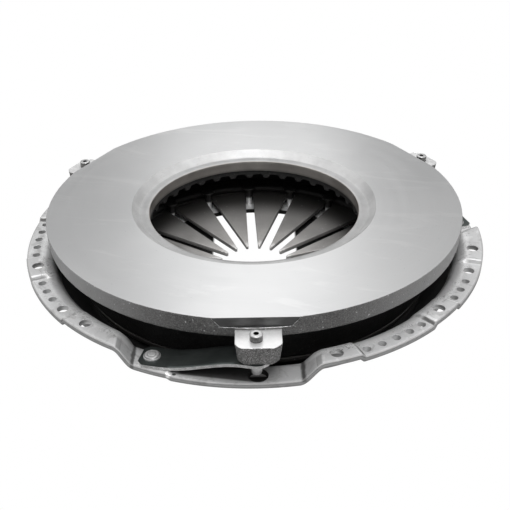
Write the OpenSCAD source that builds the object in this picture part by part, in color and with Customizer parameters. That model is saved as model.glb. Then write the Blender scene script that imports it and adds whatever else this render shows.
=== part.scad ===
// Diaphragm-spring clutch pressure plate for a 400 mm heavy-vehicle clutch.
// Millimetres. +Z points at the flywheel. The origin is the clutch axis at the
// height of the bolt pads, the faces that seat on the flywheel rim.
// Everything repeats three times about the axis. The modules draw the first lug
// on -Y; the whole is then turned so that a middle bolt hole lies on +Y.

/* [Pressure plate] */
// Outside radius of the friction face
plate_r = 200; // [198:0.5:201]
// Inner radius of the flat friction face
face_in_r = 119; // [117:0.5:122]
// Radius of the machined bore
bore_r = 102.4; // [101:0.2:104]
// Height of the friction face above the bolt pads
face_z = 31.6; // [30:0.1:33]
// Height of the land inside the friction face
land_z = 24.6; // [23.6:0.1:25.6]
// Height of the underside of the cast disc
back_z = 8; // [7.5:0.25:9]
// Number of radial ventilation ribs under the disc
rib_n = 36; // [18:18:36]
// Thickness of a ventilation rib
rib_t = 4.4; // [3.5:0.1:5]
// Circle on which the plate's nose presses the diaphragm spring
nose_r = 169; // [168:0.5:170]
// Height of a lug's machined top face
lug_top = 21.2; // [20.6:0.1:21.6]
// Height of a lug's underside, where the straps bear
lug_bot = 4.2; // [4:0.1:4.6]

/* [Cover] */
// Outside radius of the flange
flange_r = 222.5; // [221.5:0.5:224]
// Sheet thickness
sheet_t = 4.8; // [4.4:0.1:5]
// Drop of the low flange sections below the bolt pads
low_drop = 3.3; // [2.5:0.1:4]
// Depth of the strap recesses below the bolt pads
floor_drop = 14.5; // [13.8:0.1:15]
// Depth of the strap seats below the bolt pads
seat_drop = 12.7; // [12.4:0.1:13]
// Depth of the cover's inside back face
inner_z = 44.4; // [44.4:0.1:46]
// Radius of the central opening
open_r = 121; // [118:0.5:124]
// Bolt circle diameter
bolt_pcd = 425; // [424:0.5:426]
// Bolt hole diameter
bolt_d = 11; // [10.5:0.1:11.5]
// Dowel hole diameter
dowel_d = 10; // [9.5:0.1:10.5]
// Radius of the circle of balance holes
small_pc_r = 213.6; // [213:0.2:214]
// Balance hole diameter
small_d = 7.2; // [6:0.2:7.6]

/* [Diaphragm spring] */
// Number of fingers
finger_n = 18; // [18:18:18]
// Radius of the finger tips
tip_r = 35.3; // [34.5:0.1:37]
// Outside radius of the spring
spring_r = 172; // [171:0.5:173]
// Thickness measured along the axis
spring_t = 4.6; // [4.2:0.1:4.6]
// Height of the spring's upper face at the tips
tip_z = -41.55; // [-41.6:0.05:-41.5]
// Rise of the cone per millimetre of radius
cone_k = 0.082; // [0.081:0.001:0.083]
// Slot width at the outer end
slot_out = 8.6; // [8.4:0.1:9]
// Slot width at the finger tips
slot_tip = 10.2; // [9.6:0.1:10.4]

/* [Fulcrum] */
// Radius of the circle of fulcrum rivets
frivet_r = 137.2; // [137:0.1:137.4]
// Shank diameter of a fulcrum rivet
frivet_d = 7; // [6.4:0.2:7]
// Mean radius of the two wire rings
ring_r = 144.4; // [144.4:0.1:145]
// Wire diameter of the rings
wire_d = 7; // [6.8:0.1:7]

/* [Straps] */
// Radius of a lug rivet's centre
lug_rivet_r = 211.5; // [211.2:0.1:211.8]
// Radius of a strap's cover rivet
seat_rivet_r = 208.8; // [208.4:0.1:209.2]
// Angle from lug rivet back to cover rivet
strap_ang = 24.05; // [23.8:0.05:24.3]
// Width of a leaf
leaf_w = 24.4; // [23:0.2:25]
// Thickness of a leaf
leaf_t = 0.7; // [0.6:0.05:0.7]
// Leaves in one strap
leaf_n = 4; // [4:1:4]
// Diameter of the lug rivet
lug_rivet_d = 10.4; // [10:0.1:10.6]
// Diameter of the cover rivet's head
seat_head_d = 14.4; // [13:0.2:15]

/* [Hidden] */
$fn = 96;
e = 0.01;
gap = 0.03;                        // air left between pieces that touch
turn = 12.5;                       // from the lug on -Y to a middle bolt hole on +Y

// cover sheet
wall_k = 17/44.4;                  // lean of the side wall, radius per height
function wall_r(z) = 203 + wall_k*z;      // inside face of the wall
wall_a = atan(wall_k);             // lean from the vertical
bend_u = 10;                       // radius over the flange bend
bend_i = 6;                        // radius inside the two lower bends
sh_z = 23.5;                       // depth where the wall turns into the shoulder
sh_a = 41.2;                       // slope of the shoulder from level

// recess, with its lug on -Y
rec_l0 = -113; rec_l1 = -102;      // top and foot of the left-hand slope
rec_r1 = 36;   rec_r0 = 50;        // foot and top of the right-hand slope
seat_x = -71;                      // where the strap seat ends

// flange sections, as angles counter-clockwise from the lug
low_1 = [22.4, 42.9];
low_2 = [52.2, 72.1];
bolt_ang = [17.5, 47.5, 77.5];
small_ang = [24.64, 28.66, 32.66, 36.62, 40.56, 54.7, 58.7, 62.68];
dowel_ang = 67.8;

// spring
function cone_z(r) = tip_z + (r - tip_r)*cone_k;
cone_a = atan(cone_k);

// straps
leaf_p = leaf_t + 0.01;                        // pitch of the leaves in a strap
seat_xy = seat_rivet_r*[sin(-strap_ang), -cos(strap_ang)];
lug_xy = [0, -lug_rivet_r];
strap_v = lug_xy - seat_xy;
strap_l = norm(strap_v);
strap_dir = atan2(strap_v[1], strap_v[0]);
strap_low = -seat_drop + gap;                  // underside at the seat
strap_high = lug_bot - gap - leaf_n*leaf_p;    // underside at the lug
s_a = 5; s_b = strap_l - 7.3;                  // where the bend starts and ends
s_p = 1.1;                                     // how late the strap rises
s_n = 20;
function strap_z(s) = s <= s_a ? strap_low : s >= s_b ? strap_high
  : strap_low + (strap_high - strap_low)*(1 - cos(180*pow((s - s_a)/(s_b - s_a), s_p)))/2;

function arc(c, r, a0, a1, n = 8) =
  [for (i = [0:n]) c + r*[cos(a0 + (a1 - a0)*i/n), sin(a0 + (a1 - a0)*i/n)]];

module placed() { rotate([0, 0, turn]) children(); }
module thirds() { for (i = [0:2]) rotate([0, 0, 120*i]) children(); }
module at_polar(r, a) { rotate([0, 0, a - 90]) translate([r, 0, 0]) children(); }

// ---------------------------------------------------------------- cover
wall_t = sheet_t/cos(wall_a);      // wall thickness measured level
h_u = tan((90 - wall_a)/2);
// centre of the bend under a flange whose top face is at zf
function bend_c(zf) = [wall_r(zf) + bend_u*h_u, zf - bend_u];
// centre of a bend of radius r at corner p, whose faces look outwards along t1 and t2
function corner_c(p, r, t1, t2) = p - r*([cos(t1), sin(t1)] + [cos(t2), sin(t2)])/(1 + cos(t1 - t2));
sh_p = [wall_r(-sh_z), -sh_z];                                   // inside corner, wall to shoulder
back_p = [sh_p[0] - (inner_z - sh_z)/tan(sh_a), -inner_z];       // inside corner, shoulder to back
sh_c = corner_c(sh_p, bend_i, 270 + sh_a, 360 - wall_a);
back_c = corner_c(back_p, bend_i, 270, 270 + sh_a);

// Whole sheet section with the flange at bolt pad height.
module sheet_section() {
  polygon(concat(
    [[open_r, -inner_z], [open_r, -inner_z - sheet_t + 0.8], [open_r + 0.8, -inner_z - sheet_t]],
    arc(back_c, bend_i + sheet_t, 270, 270 + sh_a, 4),
    arc(sh_c, bend_i + sheet_t, 270 + sh_a, 360 - wall_a, 3),
    arc(bend_c(0), bend_u - sheet_t, 180 - wall_a, 90, 5),
    [[flange_r + 1.5, -sheet_t], [flange_r + 1.5, 0]],
    arc(bend_c(0), bend_u, 90, 180 - wall_a, 6),
    arc(sh_c, bend_i, 360 - wall_a, 270 + sh_a, 3),
    arc(back_c, bend_i, 270 + sh_a, 270, 4)));
}
// What a low section takes away from the top of the sheet and adds below it.
module low_cut_section() {
  c = bend_c(-low_drop);
  polygon(concat([[flange_r + 3, -low_drop], [c[0], -low_drop]],
    arc(c, bend_u, 98, 172 - wall_a, 5),
    [[c[0] - bend_u*cos(wall_a) - 3, c[1] + bend_u*sin(wall_a) + 1], [wall_r(0) - 6, 1], [flange_r + 3, 1]]));
}
module low_add_section() {
  c = bend_c(-low_drop);
  ri = bend_u - sheet_t;
  polygon(concat([[flange_r + 2, -low_drop - sheet_t], [flange_r + 2, -low_drop - 0.9]], arc(c, bend_u - 0.9, 90, 172 - wall_a, 5),
    arc(c, ri + 0.02, 172 - wall_a, 90, 5)));
}
module sector(a) { rotate([0, 0, a[0] - 90]) rotate_extrude(angle = a[1] - a[0], $fn = 180) children(); }
// A bar with the given (x, z) outline running outwards along -Y.
module bar(pts) { translate([0, -150, 0]) rotate([90, 0, 0]) linear_extrude(90) polygon(pts); }
// Flat ring from ri to ro. The flange is drawn a little large and trimmed last.
module ring_band(ri, ro, z0, z1) {
  difference() {
    translate([0, 0, z0]) cylinder(r = ro, h = z1 - z0, $fn = 180);
    translate([0, 0, z0 - 1]) cylinder(r = ri, h = z1 - z0 + 2, $fn = 180);
  }
}

// Top line of the recess from left to right: slope, strap seat, floor, slope.
rec_top = [[rec_l0, 0], [rec_l1, -seat_drop], [seat_x, -seat_drop], [seat_x + 3, -floor_drop],
           [rec_r1, -floor_drop], [rec_r0, 0]];
m_l = sheet_t*tan(atan(seat_drop/(rec_l1 - rec_l0))/2);
m_r = sheet_t*tan(atan(floor_drop/(rec_r0 - rec_r1))/2);
s_l = (rec_l1 - rec_l0)/seat_drop; s_r = (rec_r0 - rec_r1)/floor_drop;   // run per drop
rec_under = [[rec_r0 + m_r + 2*s_r, -sheet_t + 2], [rec_r1 + m_r, -floor_drop - sheet_t],
             [seat_x + 1.4, -floor_drop - sheet_t], [seat_x - 1.6, -seat_drop - sheet_t],
             [rec_l1 - m_l, -seat_drop - sheet_t], [rec_l0 - m_l - 2*s_l, -sheet_t + 2]];
module recess_cut() { bar(concat([[rec_l0 - 3, 2], [rec_l0 - 1.8, 2]], rec_top, [[rec_r0 + 1.8, 2], [rec_r0 + 3, 2]])); }
module recess_sheet() {
  intersection() {
    bar(concat([for (p = rec_top) p - [0, 0.1]], rec_under));
    rotate_extrude($fn = 180) polygon([[wall_r(-21) + 2.4, -21], [flange_r + 2.5, -21], [flange_r + 2.5, 1], [wall_r(1) + 2.4, 1]]);
  }
}

// Short slopes where a pad steps down to a low section at angle a; dir +1 when
// the low section lies counter-clockwise of the pad.
module step(a, dir) {
  intersection() {
    rotate([0, 0, a]) union() {
      bar([[-dir*1, -1], [-dir*0.4, 0.12 - 0.3], [dir*3.6, -low_drop - 0.3], [dir*3.6, -low_drop - 1.3], [-dir*1, -low_drop - 1.3]]);
      bar([[dir*1, -sheet_t - low_drop + 1], [dir*0.4, 0.18 - sheet_t - low_drop], [-dir*3.6, 0.3 - sheet_t], [-dir*3.6, 1.3 - sheet_t], [dir*1, 1.3 - sheet_t]]);
    }
    ring_band(208, flange_r + 1, -12, 3);
  }
}

module cover() {
  color([0.74, 0.75, 0.77]) difference() {
    union() {
      union() {
        difference() {
          rotate_extrude($fn = 180) sheet_section();
          thirds() {
            sector(low_1) low_cut_section();
            sector(low_2) low_cut_section();
            recess_cut();
          }
        }
        thirds() recess_sheet();
      }
      thirds() {
        sector(low_1) low_add_section();
        sector(low_2) low_add_section();
        step(low_1[0], 1);
        step(low_1[1], -1);
        step(low_2[0], 1);
        step(low_2[1], -1);
      }
    }
    ring_band(flange_r, flange_r + 8, -40, 10);
    thirds() {
      for (a = bolt_ang) at_polar(bolt_pcd/2, a) translate([0, 0, -20]) cylinder(d = bolt_d, h = 30, $fn = 48);
      for (a = small_ang) at_polar(small_pc_r, a) translate([0, 0, -20]) cylinder(d = small_d, h = 30, $fn = 36);
      at_polar(bolt_pcd/2, dowel_ang) translate([0, 0, -20]) cylinder(d = dowel_d, h = 30, $fn = 48);
      // clearance for the lug rivet's lower end
      translate([1, -lug_rivet_r, -30]) cylinder(d = 16, h = 30, $fn = 48);
      // seat rivet hole
      translate([seat_xy[0], seat_xy[1], -30]) cylinder(d = 9 + 2*gap, h = 30, $fn = 48);
    }
    for (i = [0:finger_n - 1]) rotate([0, 0, 360/finger_n*i + 12.35]) translate([frivet_r, 0, -inner_z - 10])
      cylinder(d = frivet_d + 2*gap, h = 20, $fn = 36);
  }
}

// ------------------------------------------------------- pressure plate
module disc_section() {
  polygon(concat(
    [[face_in_r, face_z], [plate_r - 0.8, face_z], [plate_r, face_z - 0.8], [plate_r - 0.8, 16]],
    arc([plate_r - 3.3, 16], 2.5, 0, -80, 4),
    [[176, back_z + 1.5], [174, back_z], [bore_r + 1.8, back_z], [bore_r + 1.8, land_z - 11.4],
     [bore_r, land_z - 11], [bore_r, land_z - 0.6], [bore_r + 0.6, land_z], [111.3, land_z]]));
}
module nose_section() {
  zc = cone_z(nose_r) + (3.5 + 0.12)/cos(cone_a);
  polygon(concat(
    [[163, back_z + 1], [165.5, zc]],
    arc([nose_r, zc], 3.5, 180, 360, 10),
    [[175.5, back_z + 1]]));
}
module lug_blank() {
  intersection() {
    translate([0, 0, lug_bot]) linear_extrude(lug_top - lug_bot)
      polygon([[-16.9, -186], [-16.9, -217.6], [-12.2, -223], [14.7, -223], [20.4, -217.6], [20.4, -186]]);
    translate([0, -180, 0]) rotate([90, 0, 0]) linear_extrude(60)
      polygon([[-14.6, lug_bot], [18.2, lug_bot], [20.4, lug_top], [-16.9, lug_top]]);
    rotate([90, 0, 90]) translate([0, 0, -40]) linear_extrude(80)
      polygon([[-222.2, lug_bot], [-180, lug_bot], [-180, lug_top], [-223, lug_top]]);
  }
}
module pressure_plate() {
  color([0.36, 0.36, 0.37]) difference() {
    union() {
      rotate_extrude($fn = 180) disc_section();
      for (i = [0:rib_n - 1]) rotate([0, 0, 360/rib_n*i + 2.35]) translate([0, rib_t/2, 0])
        rotate([90, 0, 0]) linear_extrude(rib_t)
          polygon([[bore_r + 1.8, back_z + 1], [bore_r + 1.8, back_z - 4], [165, back_z - 10], [165, back_z + 1]]);
      rotate_extrude($fn = 180) nose_section();
      thirds() lug_blank();
    }
    thirds() {
      // milled pocket in the rim above the lug
      rotate([90, 0, 90]) translate([0, 0, -50]) linear_extrude(100)
        polygon([[-196.55, face_z + 1], [-197.6, face_z - 8.3], [-230, face_z - 8.3], [-230, face_z + 1]]);
      // lug rivet hole
      translate([0, -lug_rivet_r, lug_bot - 5]) cylinder(d = lug_rivet_d - 0.4 + 2*gap, h = 40, $fn = 48);
    }
  }
}

// ----------------------------------------------------- diaphragm spring
module spring_slot() {
  hull_r = slot_out/2;
  polygon([[frivet_r, -slot_out/2], [frivet_r, slot_out/2], [tip_r - 8, slot_tip/2 + 0.06], [tip_r - 8, -slot_tip/2 - 0.06]]);
  translate([frivet_r, 0]) circle(r = hull_r, $fn = 36);
}
module diaphragm_spring() {
  color([0.30, 0.28, 0.26]) difference() {
    rotate_extrude($fn = 180) polygon([
      [tip_r, cone_z(tip_r) - 1], [tip_r + 1, cone_z(tip_r + 1)],
      [spring_r - 1, cone_z(spring_r - 1)], [spring_r, cone_z(spring_r) - 1],
      [spring_r, cone_z(spring_r) - spring_t + 1], [spring_r - 1, cone_z(spring_r - 1) - spring_t],
      [tip_r + 1, cone_z(tip_r + 1) - spring_t], [tip_r, cone_z(tip_r) - spring_t + 1]]);
    for (i = [0:finger_n - 1]) rotate([0, 0, 360/finger_n*i + 12.35])
      translate([0, 0, -60]) linear_extrude(50) spring_slot();
  }
}

// --------------------------------------------------------------- fulcrum
module wire_ring(zc) { rotate_extrude($fn = 180) translate([ring_r, zc]) circle(d = wire_d, $fn = 32); }
ring_up = cone_z(ring_r) + (wire_d/2 + 0.1)/cos(cone_a);
ring_dn = max(cone_z(ring_r) - spring_t - (wire_d/2 + 0.1)/cos(cone_a), -inner_z + wire_d/2 + 0.02);
module fulcrum_ring_flywheel_side() { color([0.45, 0.44, 0.42]) wire_ring(ring_up); }
module fulcrum_ring_cover_side() { color([0.45, 0.44, 0.42]) wire_ring(ring_dn); }
module fulcrum_rivets() {
  hz = ring_up + wire_d/2 + 0.15;       // underside of the head over the wire
  color([0.42, 0.41, 0.40]) for (i = [0:finger_n - 1])
    rotate([0, 0, 360/finger_n*i + 12.35]) translate([frivet_r, 0, 0])
      rotate_extrude($fn = 48) polygon([
        [0, -inner_z - sheet_t - 3], [4, -inner_z - sheet_t - 3], [6, -inner_z - sheet_t - 1.8],
        [6.4, -inner_z - sheet_t - gap], [frivet_d/2, -inner_z - sheet_t - gap],
        [frivet_d/2, hz - 1.35], [7.4, hz + 0.6], [7.4, hz + 1.3], [6.4, hz + 2.3], [0, hz + 2.5]]);
}

// ---------------------------------------------------------------- straps
// k counts the leaves up from the cover, i is the strap
module strap_leaf(i, k) {
  zo = k*leaf_p;
  step_s = (s_b - s_a)/s_n;
  ss = concat([-14], [for (j = [0:s_n]) s_a + j*step_s], [strap_l + 16]);
  color([0.27, 0.30, 0.29])
  rotate([0, 0, 120*i]) translate([seat_xy[0], seat_xy[1], 0]) rotate([0, 0, strap_dir])
  difference() {
    intersection() {
      translate([0, 30, 0]) rotate([90, 0, 0]) linear_extrude(60)
        polygon(concat([for (s = ss) [s, strap_z(s) + zo]],
                       [for (j = [len(ss) - 1:-1:0]) [ss[j], strap_z(ss[j]) + zo + leaf_t]]));
      translate([0, 0, -40]) linear_extrude(80) union() {
        polygon([[-9.5, -leaf_w/2 + 4], [-5.5, -leaf_w/2], [strap_l, -leaf_w/2],
                 [strap_l, leaf_w/2], [-5.5, leaf_w/2], [-9.5, leaf_w/2 - 4]]);
        translate([strap_l, 0]) circle(d = leaf_w, $fn = 72);
      }
    }
    translate([0, 0, -40]) cylinder(d = 9 + 2*gap, h = 80, $fn = 48);
    translate([strap_l, 0, -40]) cylinder(d = lug_rivet_d - 0.4 + 2*gap, h = 80, $fn = 48);
  }
}
module strap_seat_rivets() {
  zt = strap_low + leaf_n*leaf_p + gap;
  color([0.62, 0.63, 0.63]) thirds() translate([seat_xy[0], seat_xy[1], 0]) rotate_extrude($fn = 64)
    polygon(concat(
      [[0, -seat_drop - sheet_t - 3.2], [4.6, -seat_drop - sheet_t - 3.2], [6.6, -seat_drop - sheet_t - 2],
       [7, -seat_drop - sheet_t - gap], [4.5, -seat_drop - sheet_t - gap], [4.5, zt],
       [seat_head_d/2, zt], [seat_head_d/2, zt + 0.9]],
      [for (t = [0.85, 0.68, 0.5, 0.3, 0]) [seat_head_d/2*t, zt + 0.9 + 2.5*(1 - pow(t, 2.4))]]));
}
washer_t = 1.6;
module strap_lug_washers() {
  color([0.55, 0.56, 0.56]) thirds() translate([0, -lug_rivet_r, strap_high - gap - washer_t]) difference() {
    cylinder(d = 14, h = washer_t, $fn = 64);
    translate([0, 0, -1]) cylinder(d = lug_rivet_d - 0.4 + 2*gap, h = washer_t + 2, $fn = 48);
  }
}
module strap_lug_rivets() {
  zw = strap_high - 2*gap - washer_t;
  rs = (lug_rivet_d - 0.4)/2; rt = lug_rivet_d/2;
  color([0.66, 0.66, 0.65]) thirds() translate([0, -lug_rivet_r, 0]) rotate_extrude($fn = 64)
    polygon([[0, -12.2], [2.8, -12.2], [4.1, -11], [5.9, zw - 1.2], [6.4, zw], [rs, zw],
             [rs, lug_top + gap], [rt, lug_top + gap], [rt, lug_top + 5.2], [rt - 0.8, lug_top + 6],
             [1.9, lug_top + 6], [1.9, lug_top - 2], [0, lug_top - 3]]);
}

placed() cover();
placed() pressure_plate();
placed() diaphragm_spring();
placed() fulcrum_ring_flywheel_side();
placed() fulcrum_ring_cover_side();
placed() fulcrum_rivets();
placed() strap_leaf(0, 0);  // strap_a_leaf_1
placed() strap_leaf(0, 1);  // strap_a_leaf_2
placed() strap_leaf(0, 2);  // strap_a_leaf_3
placed() strap_leaf(0, 3);  // strap_a_leaf_4
placed() strap_leaf(1, 0);  // strap_b_leaf_1
placed() strap_leaf(1, 1);  // strap_b_leaf_2
placed() strap_leaf(1, 2);  // strap_b_leaf_3
placed() strap_leaf(1, 3);  // strap_b_leaf_4
placed() strap_leaf(2, 0);  // strap_c_leaf_1
placed() strap_leaf(2, 1);  // strap_c_leaf_2
placed() strap_leaf(2, 2);  // strap_c_leaf_3
placed() strap_leaf(2, 3);  // strap_c_leaf_4
placed() strap_seat_rivets();
placed() strap_lug_rivets();
placed() strap_lug_washers();
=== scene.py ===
import bpy, bmesh, math
import numpy as np
from mathutils import Matrix, Vector, noise as mnoise


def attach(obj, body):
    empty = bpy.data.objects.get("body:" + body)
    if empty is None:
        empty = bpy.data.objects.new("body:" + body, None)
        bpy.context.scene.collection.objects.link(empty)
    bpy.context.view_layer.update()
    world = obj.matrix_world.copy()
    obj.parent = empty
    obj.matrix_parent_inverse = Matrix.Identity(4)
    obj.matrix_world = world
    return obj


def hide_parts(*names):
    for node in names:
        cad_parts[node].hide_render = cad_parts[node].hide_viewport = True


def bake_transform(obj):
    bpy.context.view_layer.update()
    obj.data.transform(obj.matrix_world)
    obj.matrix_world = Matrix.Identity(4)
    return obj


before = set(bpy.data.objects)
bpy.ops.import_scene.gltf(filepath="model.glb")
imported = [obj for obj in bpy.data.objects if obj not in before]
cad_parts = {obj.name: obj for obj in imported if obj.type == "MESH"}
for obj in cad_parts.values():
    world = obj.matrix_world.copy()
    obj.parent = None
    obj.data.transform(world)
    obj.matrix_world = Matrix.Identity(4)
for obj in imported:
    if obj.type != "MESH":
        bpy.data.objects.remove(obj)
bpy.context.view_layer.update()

TURN = math.radians(12.5)          # the modules draw the first lug on -Y, then turn the whole
CT, ST = math.cos(TURN), math.sin(TURN)
SPIN = Matrix.Rotation(TURN, 4, "Z")
scene = bpy.context.scene


# ------------------------------------------------------------------ camera
def add_camera():
    elev, roll = math.radians(31.50), math.radians(-0.99)
    f = np.array([0, math.cos(elev), -math.sin(elev)])
    r = np.array([1.0, 0, 0])
    d = np.cross(f, r)
    c, s = math.cos(roll), math.sin(roll)
    R = np.array([[c, -s, 0], [s, c, 0], [0, 0, 1]]) @ np.array([r, d, f])
    t = np.array([-0.62, -27.03, 852.0]) / 1000
    loc = -R.T @ t
    cam = bpy.data.cameras.new("camera")
    cam.sensor_width = 36.0
    cam.lens = 853 / 510 * 36.0
    cam.clip_start, cam.clip_end = 0.02, 50
    o = bpy.data.objects.new("camera", cam)
    m = Matrix([[R[0][i], -R[1][i], -R[2][i]] for i in range(3)]).to_4x4()
    m.translation = Vector(loc)
    o.matrix_world = SPIN @ m
    scene.collection.objects.link(o)
    scene.camera = o


add_camera()


# ----------------------------------------------------------------- helpers
def place(V):
    """Millimetres with the first lug on -Y, to metres in the row frame."""
    V = np.asarray(V, float)
    return np.c_[V[:, 0] * CT - V[:, 1] * ST, V[:, 0] * ST + V[:, 1] * CT, V[:, 2]] / 1000


def mesh_obj(name, V, F, mats=(), angle=32, smooth=True):
    me = bpy.data.meshes.new(name)
    me.from_pydata(place(V).tolist(), [], [list(map(int, f)) for f in F])
    me.validate()
    for m in mats:
        me.materials.append(m)
    o = bpy.data.objects.new(name, me)
    scene.collection.objects.link(o)
    finish_shading(o, angle, smooth)
    return o


def finish_shading(o, angle=32, smooth=True):
    me = o.data
    me.polygons.foreach_set("use_smooth", [smooth] * len(me.polygons))
    if smooth:
        me.set_sharp_from_angle(angle=math.radians(angle))
    me.update()


def grid_faces(n, m, close_n=False, close_m=False, base=0):
    """Quads of an n by m grid whose vertex (i, j) is base + i * m + j."""
    I = np.arange(n if close_n else n - 1)
    J = np.arange(m if close_m else m - 1)
    i, j = np.meshgrid(I, J, indexing="ij")
    i2, j2 = (i + 1) % n, (j + 1) % m
    return np.stack([base + i * m + j, base + i2 * m + j, base + i2 * m + j2, base + i * m + j2], -1).reshape(-1, 4)


def lathe(profile, n=96, centre=(0, 0), closed=False):
    """Verts and faces of a profile [(r, z)] turned about a vertical axis. Points on the axis are merged later."""
    P = np.array(profile, float)
    a = np.linspace(0, 2 * math.pi, n, endpoint=False)
    V = np.stack([np.outer(np.cos(a), P[:, 0]) + centre[0], np.outer(np.sin(a), P[:, 0]) + centre[1],
                  np.tile(P[:, 1], (n, 1))], -1).reshape(-1, 3)
    return V, grid_faces(n, len(P), close_n=True, close_m=closed)


def join_parts(parts):
    V, F, k = [], [], 0
    for v, f in parts:
        V.append(np.asarray(v, float))
        F += [[int(x) + k for x in q] for q in f]
        k += len(v)
    return np.vstack(V), F


def spin_z(V, deg):
    a = math.radians(deg)
    V = np.asarray(V, float)
    return np.c_[V[:, 0] * math.cos(a) - V[:, 1] * math.sin(a), V[:, 0] * math.sin(a) + V[:, 1] * math.cos(a), V[:, 2]]


def tidy(o, dist=1e-6, normals=True):
    bm = bmesh.new()
    bm.from_mesh(o.data)
    bmesh.ops.remove_doubles(bm, verts=bm.verts, dist=dist)
    bmesh.ops.dissolve_degenerate(bm, edges=bm.edges, dist=1e-7)
    if normals:
        bmesh.ops.recalc_face_normals(bm, faces=bm.faces)
    bm.to_mesh(o.data)
    bm.free()
    o.data.update()


def boolean(o, tool, op="DIFFERENCE"):
    md = o.modifiers.new("bool", "BOOLEAN")
    md.operation, md.object = op, tool
    try:
        md.solver = "MANIFOLD"
    except TypeError:
        md.solver = "EXACT"
    dg = bpy.context.evaluated_depsgraph_get()
    me = bpy.data.meshes.new_from_object(o.evaluated_get(dg))
    o.modifiers.clear()
    old = o.data
    name = old.name
    o.data = me
    bpy.data.meshes.remove(old)
    me.name = name
    bpy.data.objects.remove(tool, do_unlink=True)


def soft(u, w):
    """max(u, 0) with its corner rounded over -w to w."""
    return np.where(u < -w, 0.0, np.where(u > w, u, (u + w) ** 2 / (4 * w)))


def pl(x, pts, ws):
    """Line through pts, level past both ends, each corner rounded over its w."""
    x = np.asarray(x, float)
    y, s = np.full_like(x, pts[0][1]), 0.0
    for i, (px, _) in enumerate(pts):
        s2 = (pts[i + 1][1] - pts[i][1]) / (pts[i + 1][0] - px) if i + 1 < len(pts) else 0.0
        y = y + (s2 - s) * soft(x - px, ws[i])
        s = s2
    return y


def arc(c, r, a0, a1, n):
    a = np.radians(np.linspace(a0, a1, n + 1))
    return [(c[0] + r * math.cos(x), c[1] + r * math.sin(x)) for x in a]


def wobble(V, size, seed, octaves=3):
    """Coherent noise about 0 at points in mm."""
    q = Vector((seed * 7.31, seed * 3.77, seed * 5.13))
    out = np.empty(len(V))
    for i, p in enumerate(V):
        out[i] = mnoise.fractal(Vector(p) / size + q, 1.0, 2.0, octaves)
    return out


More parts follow.
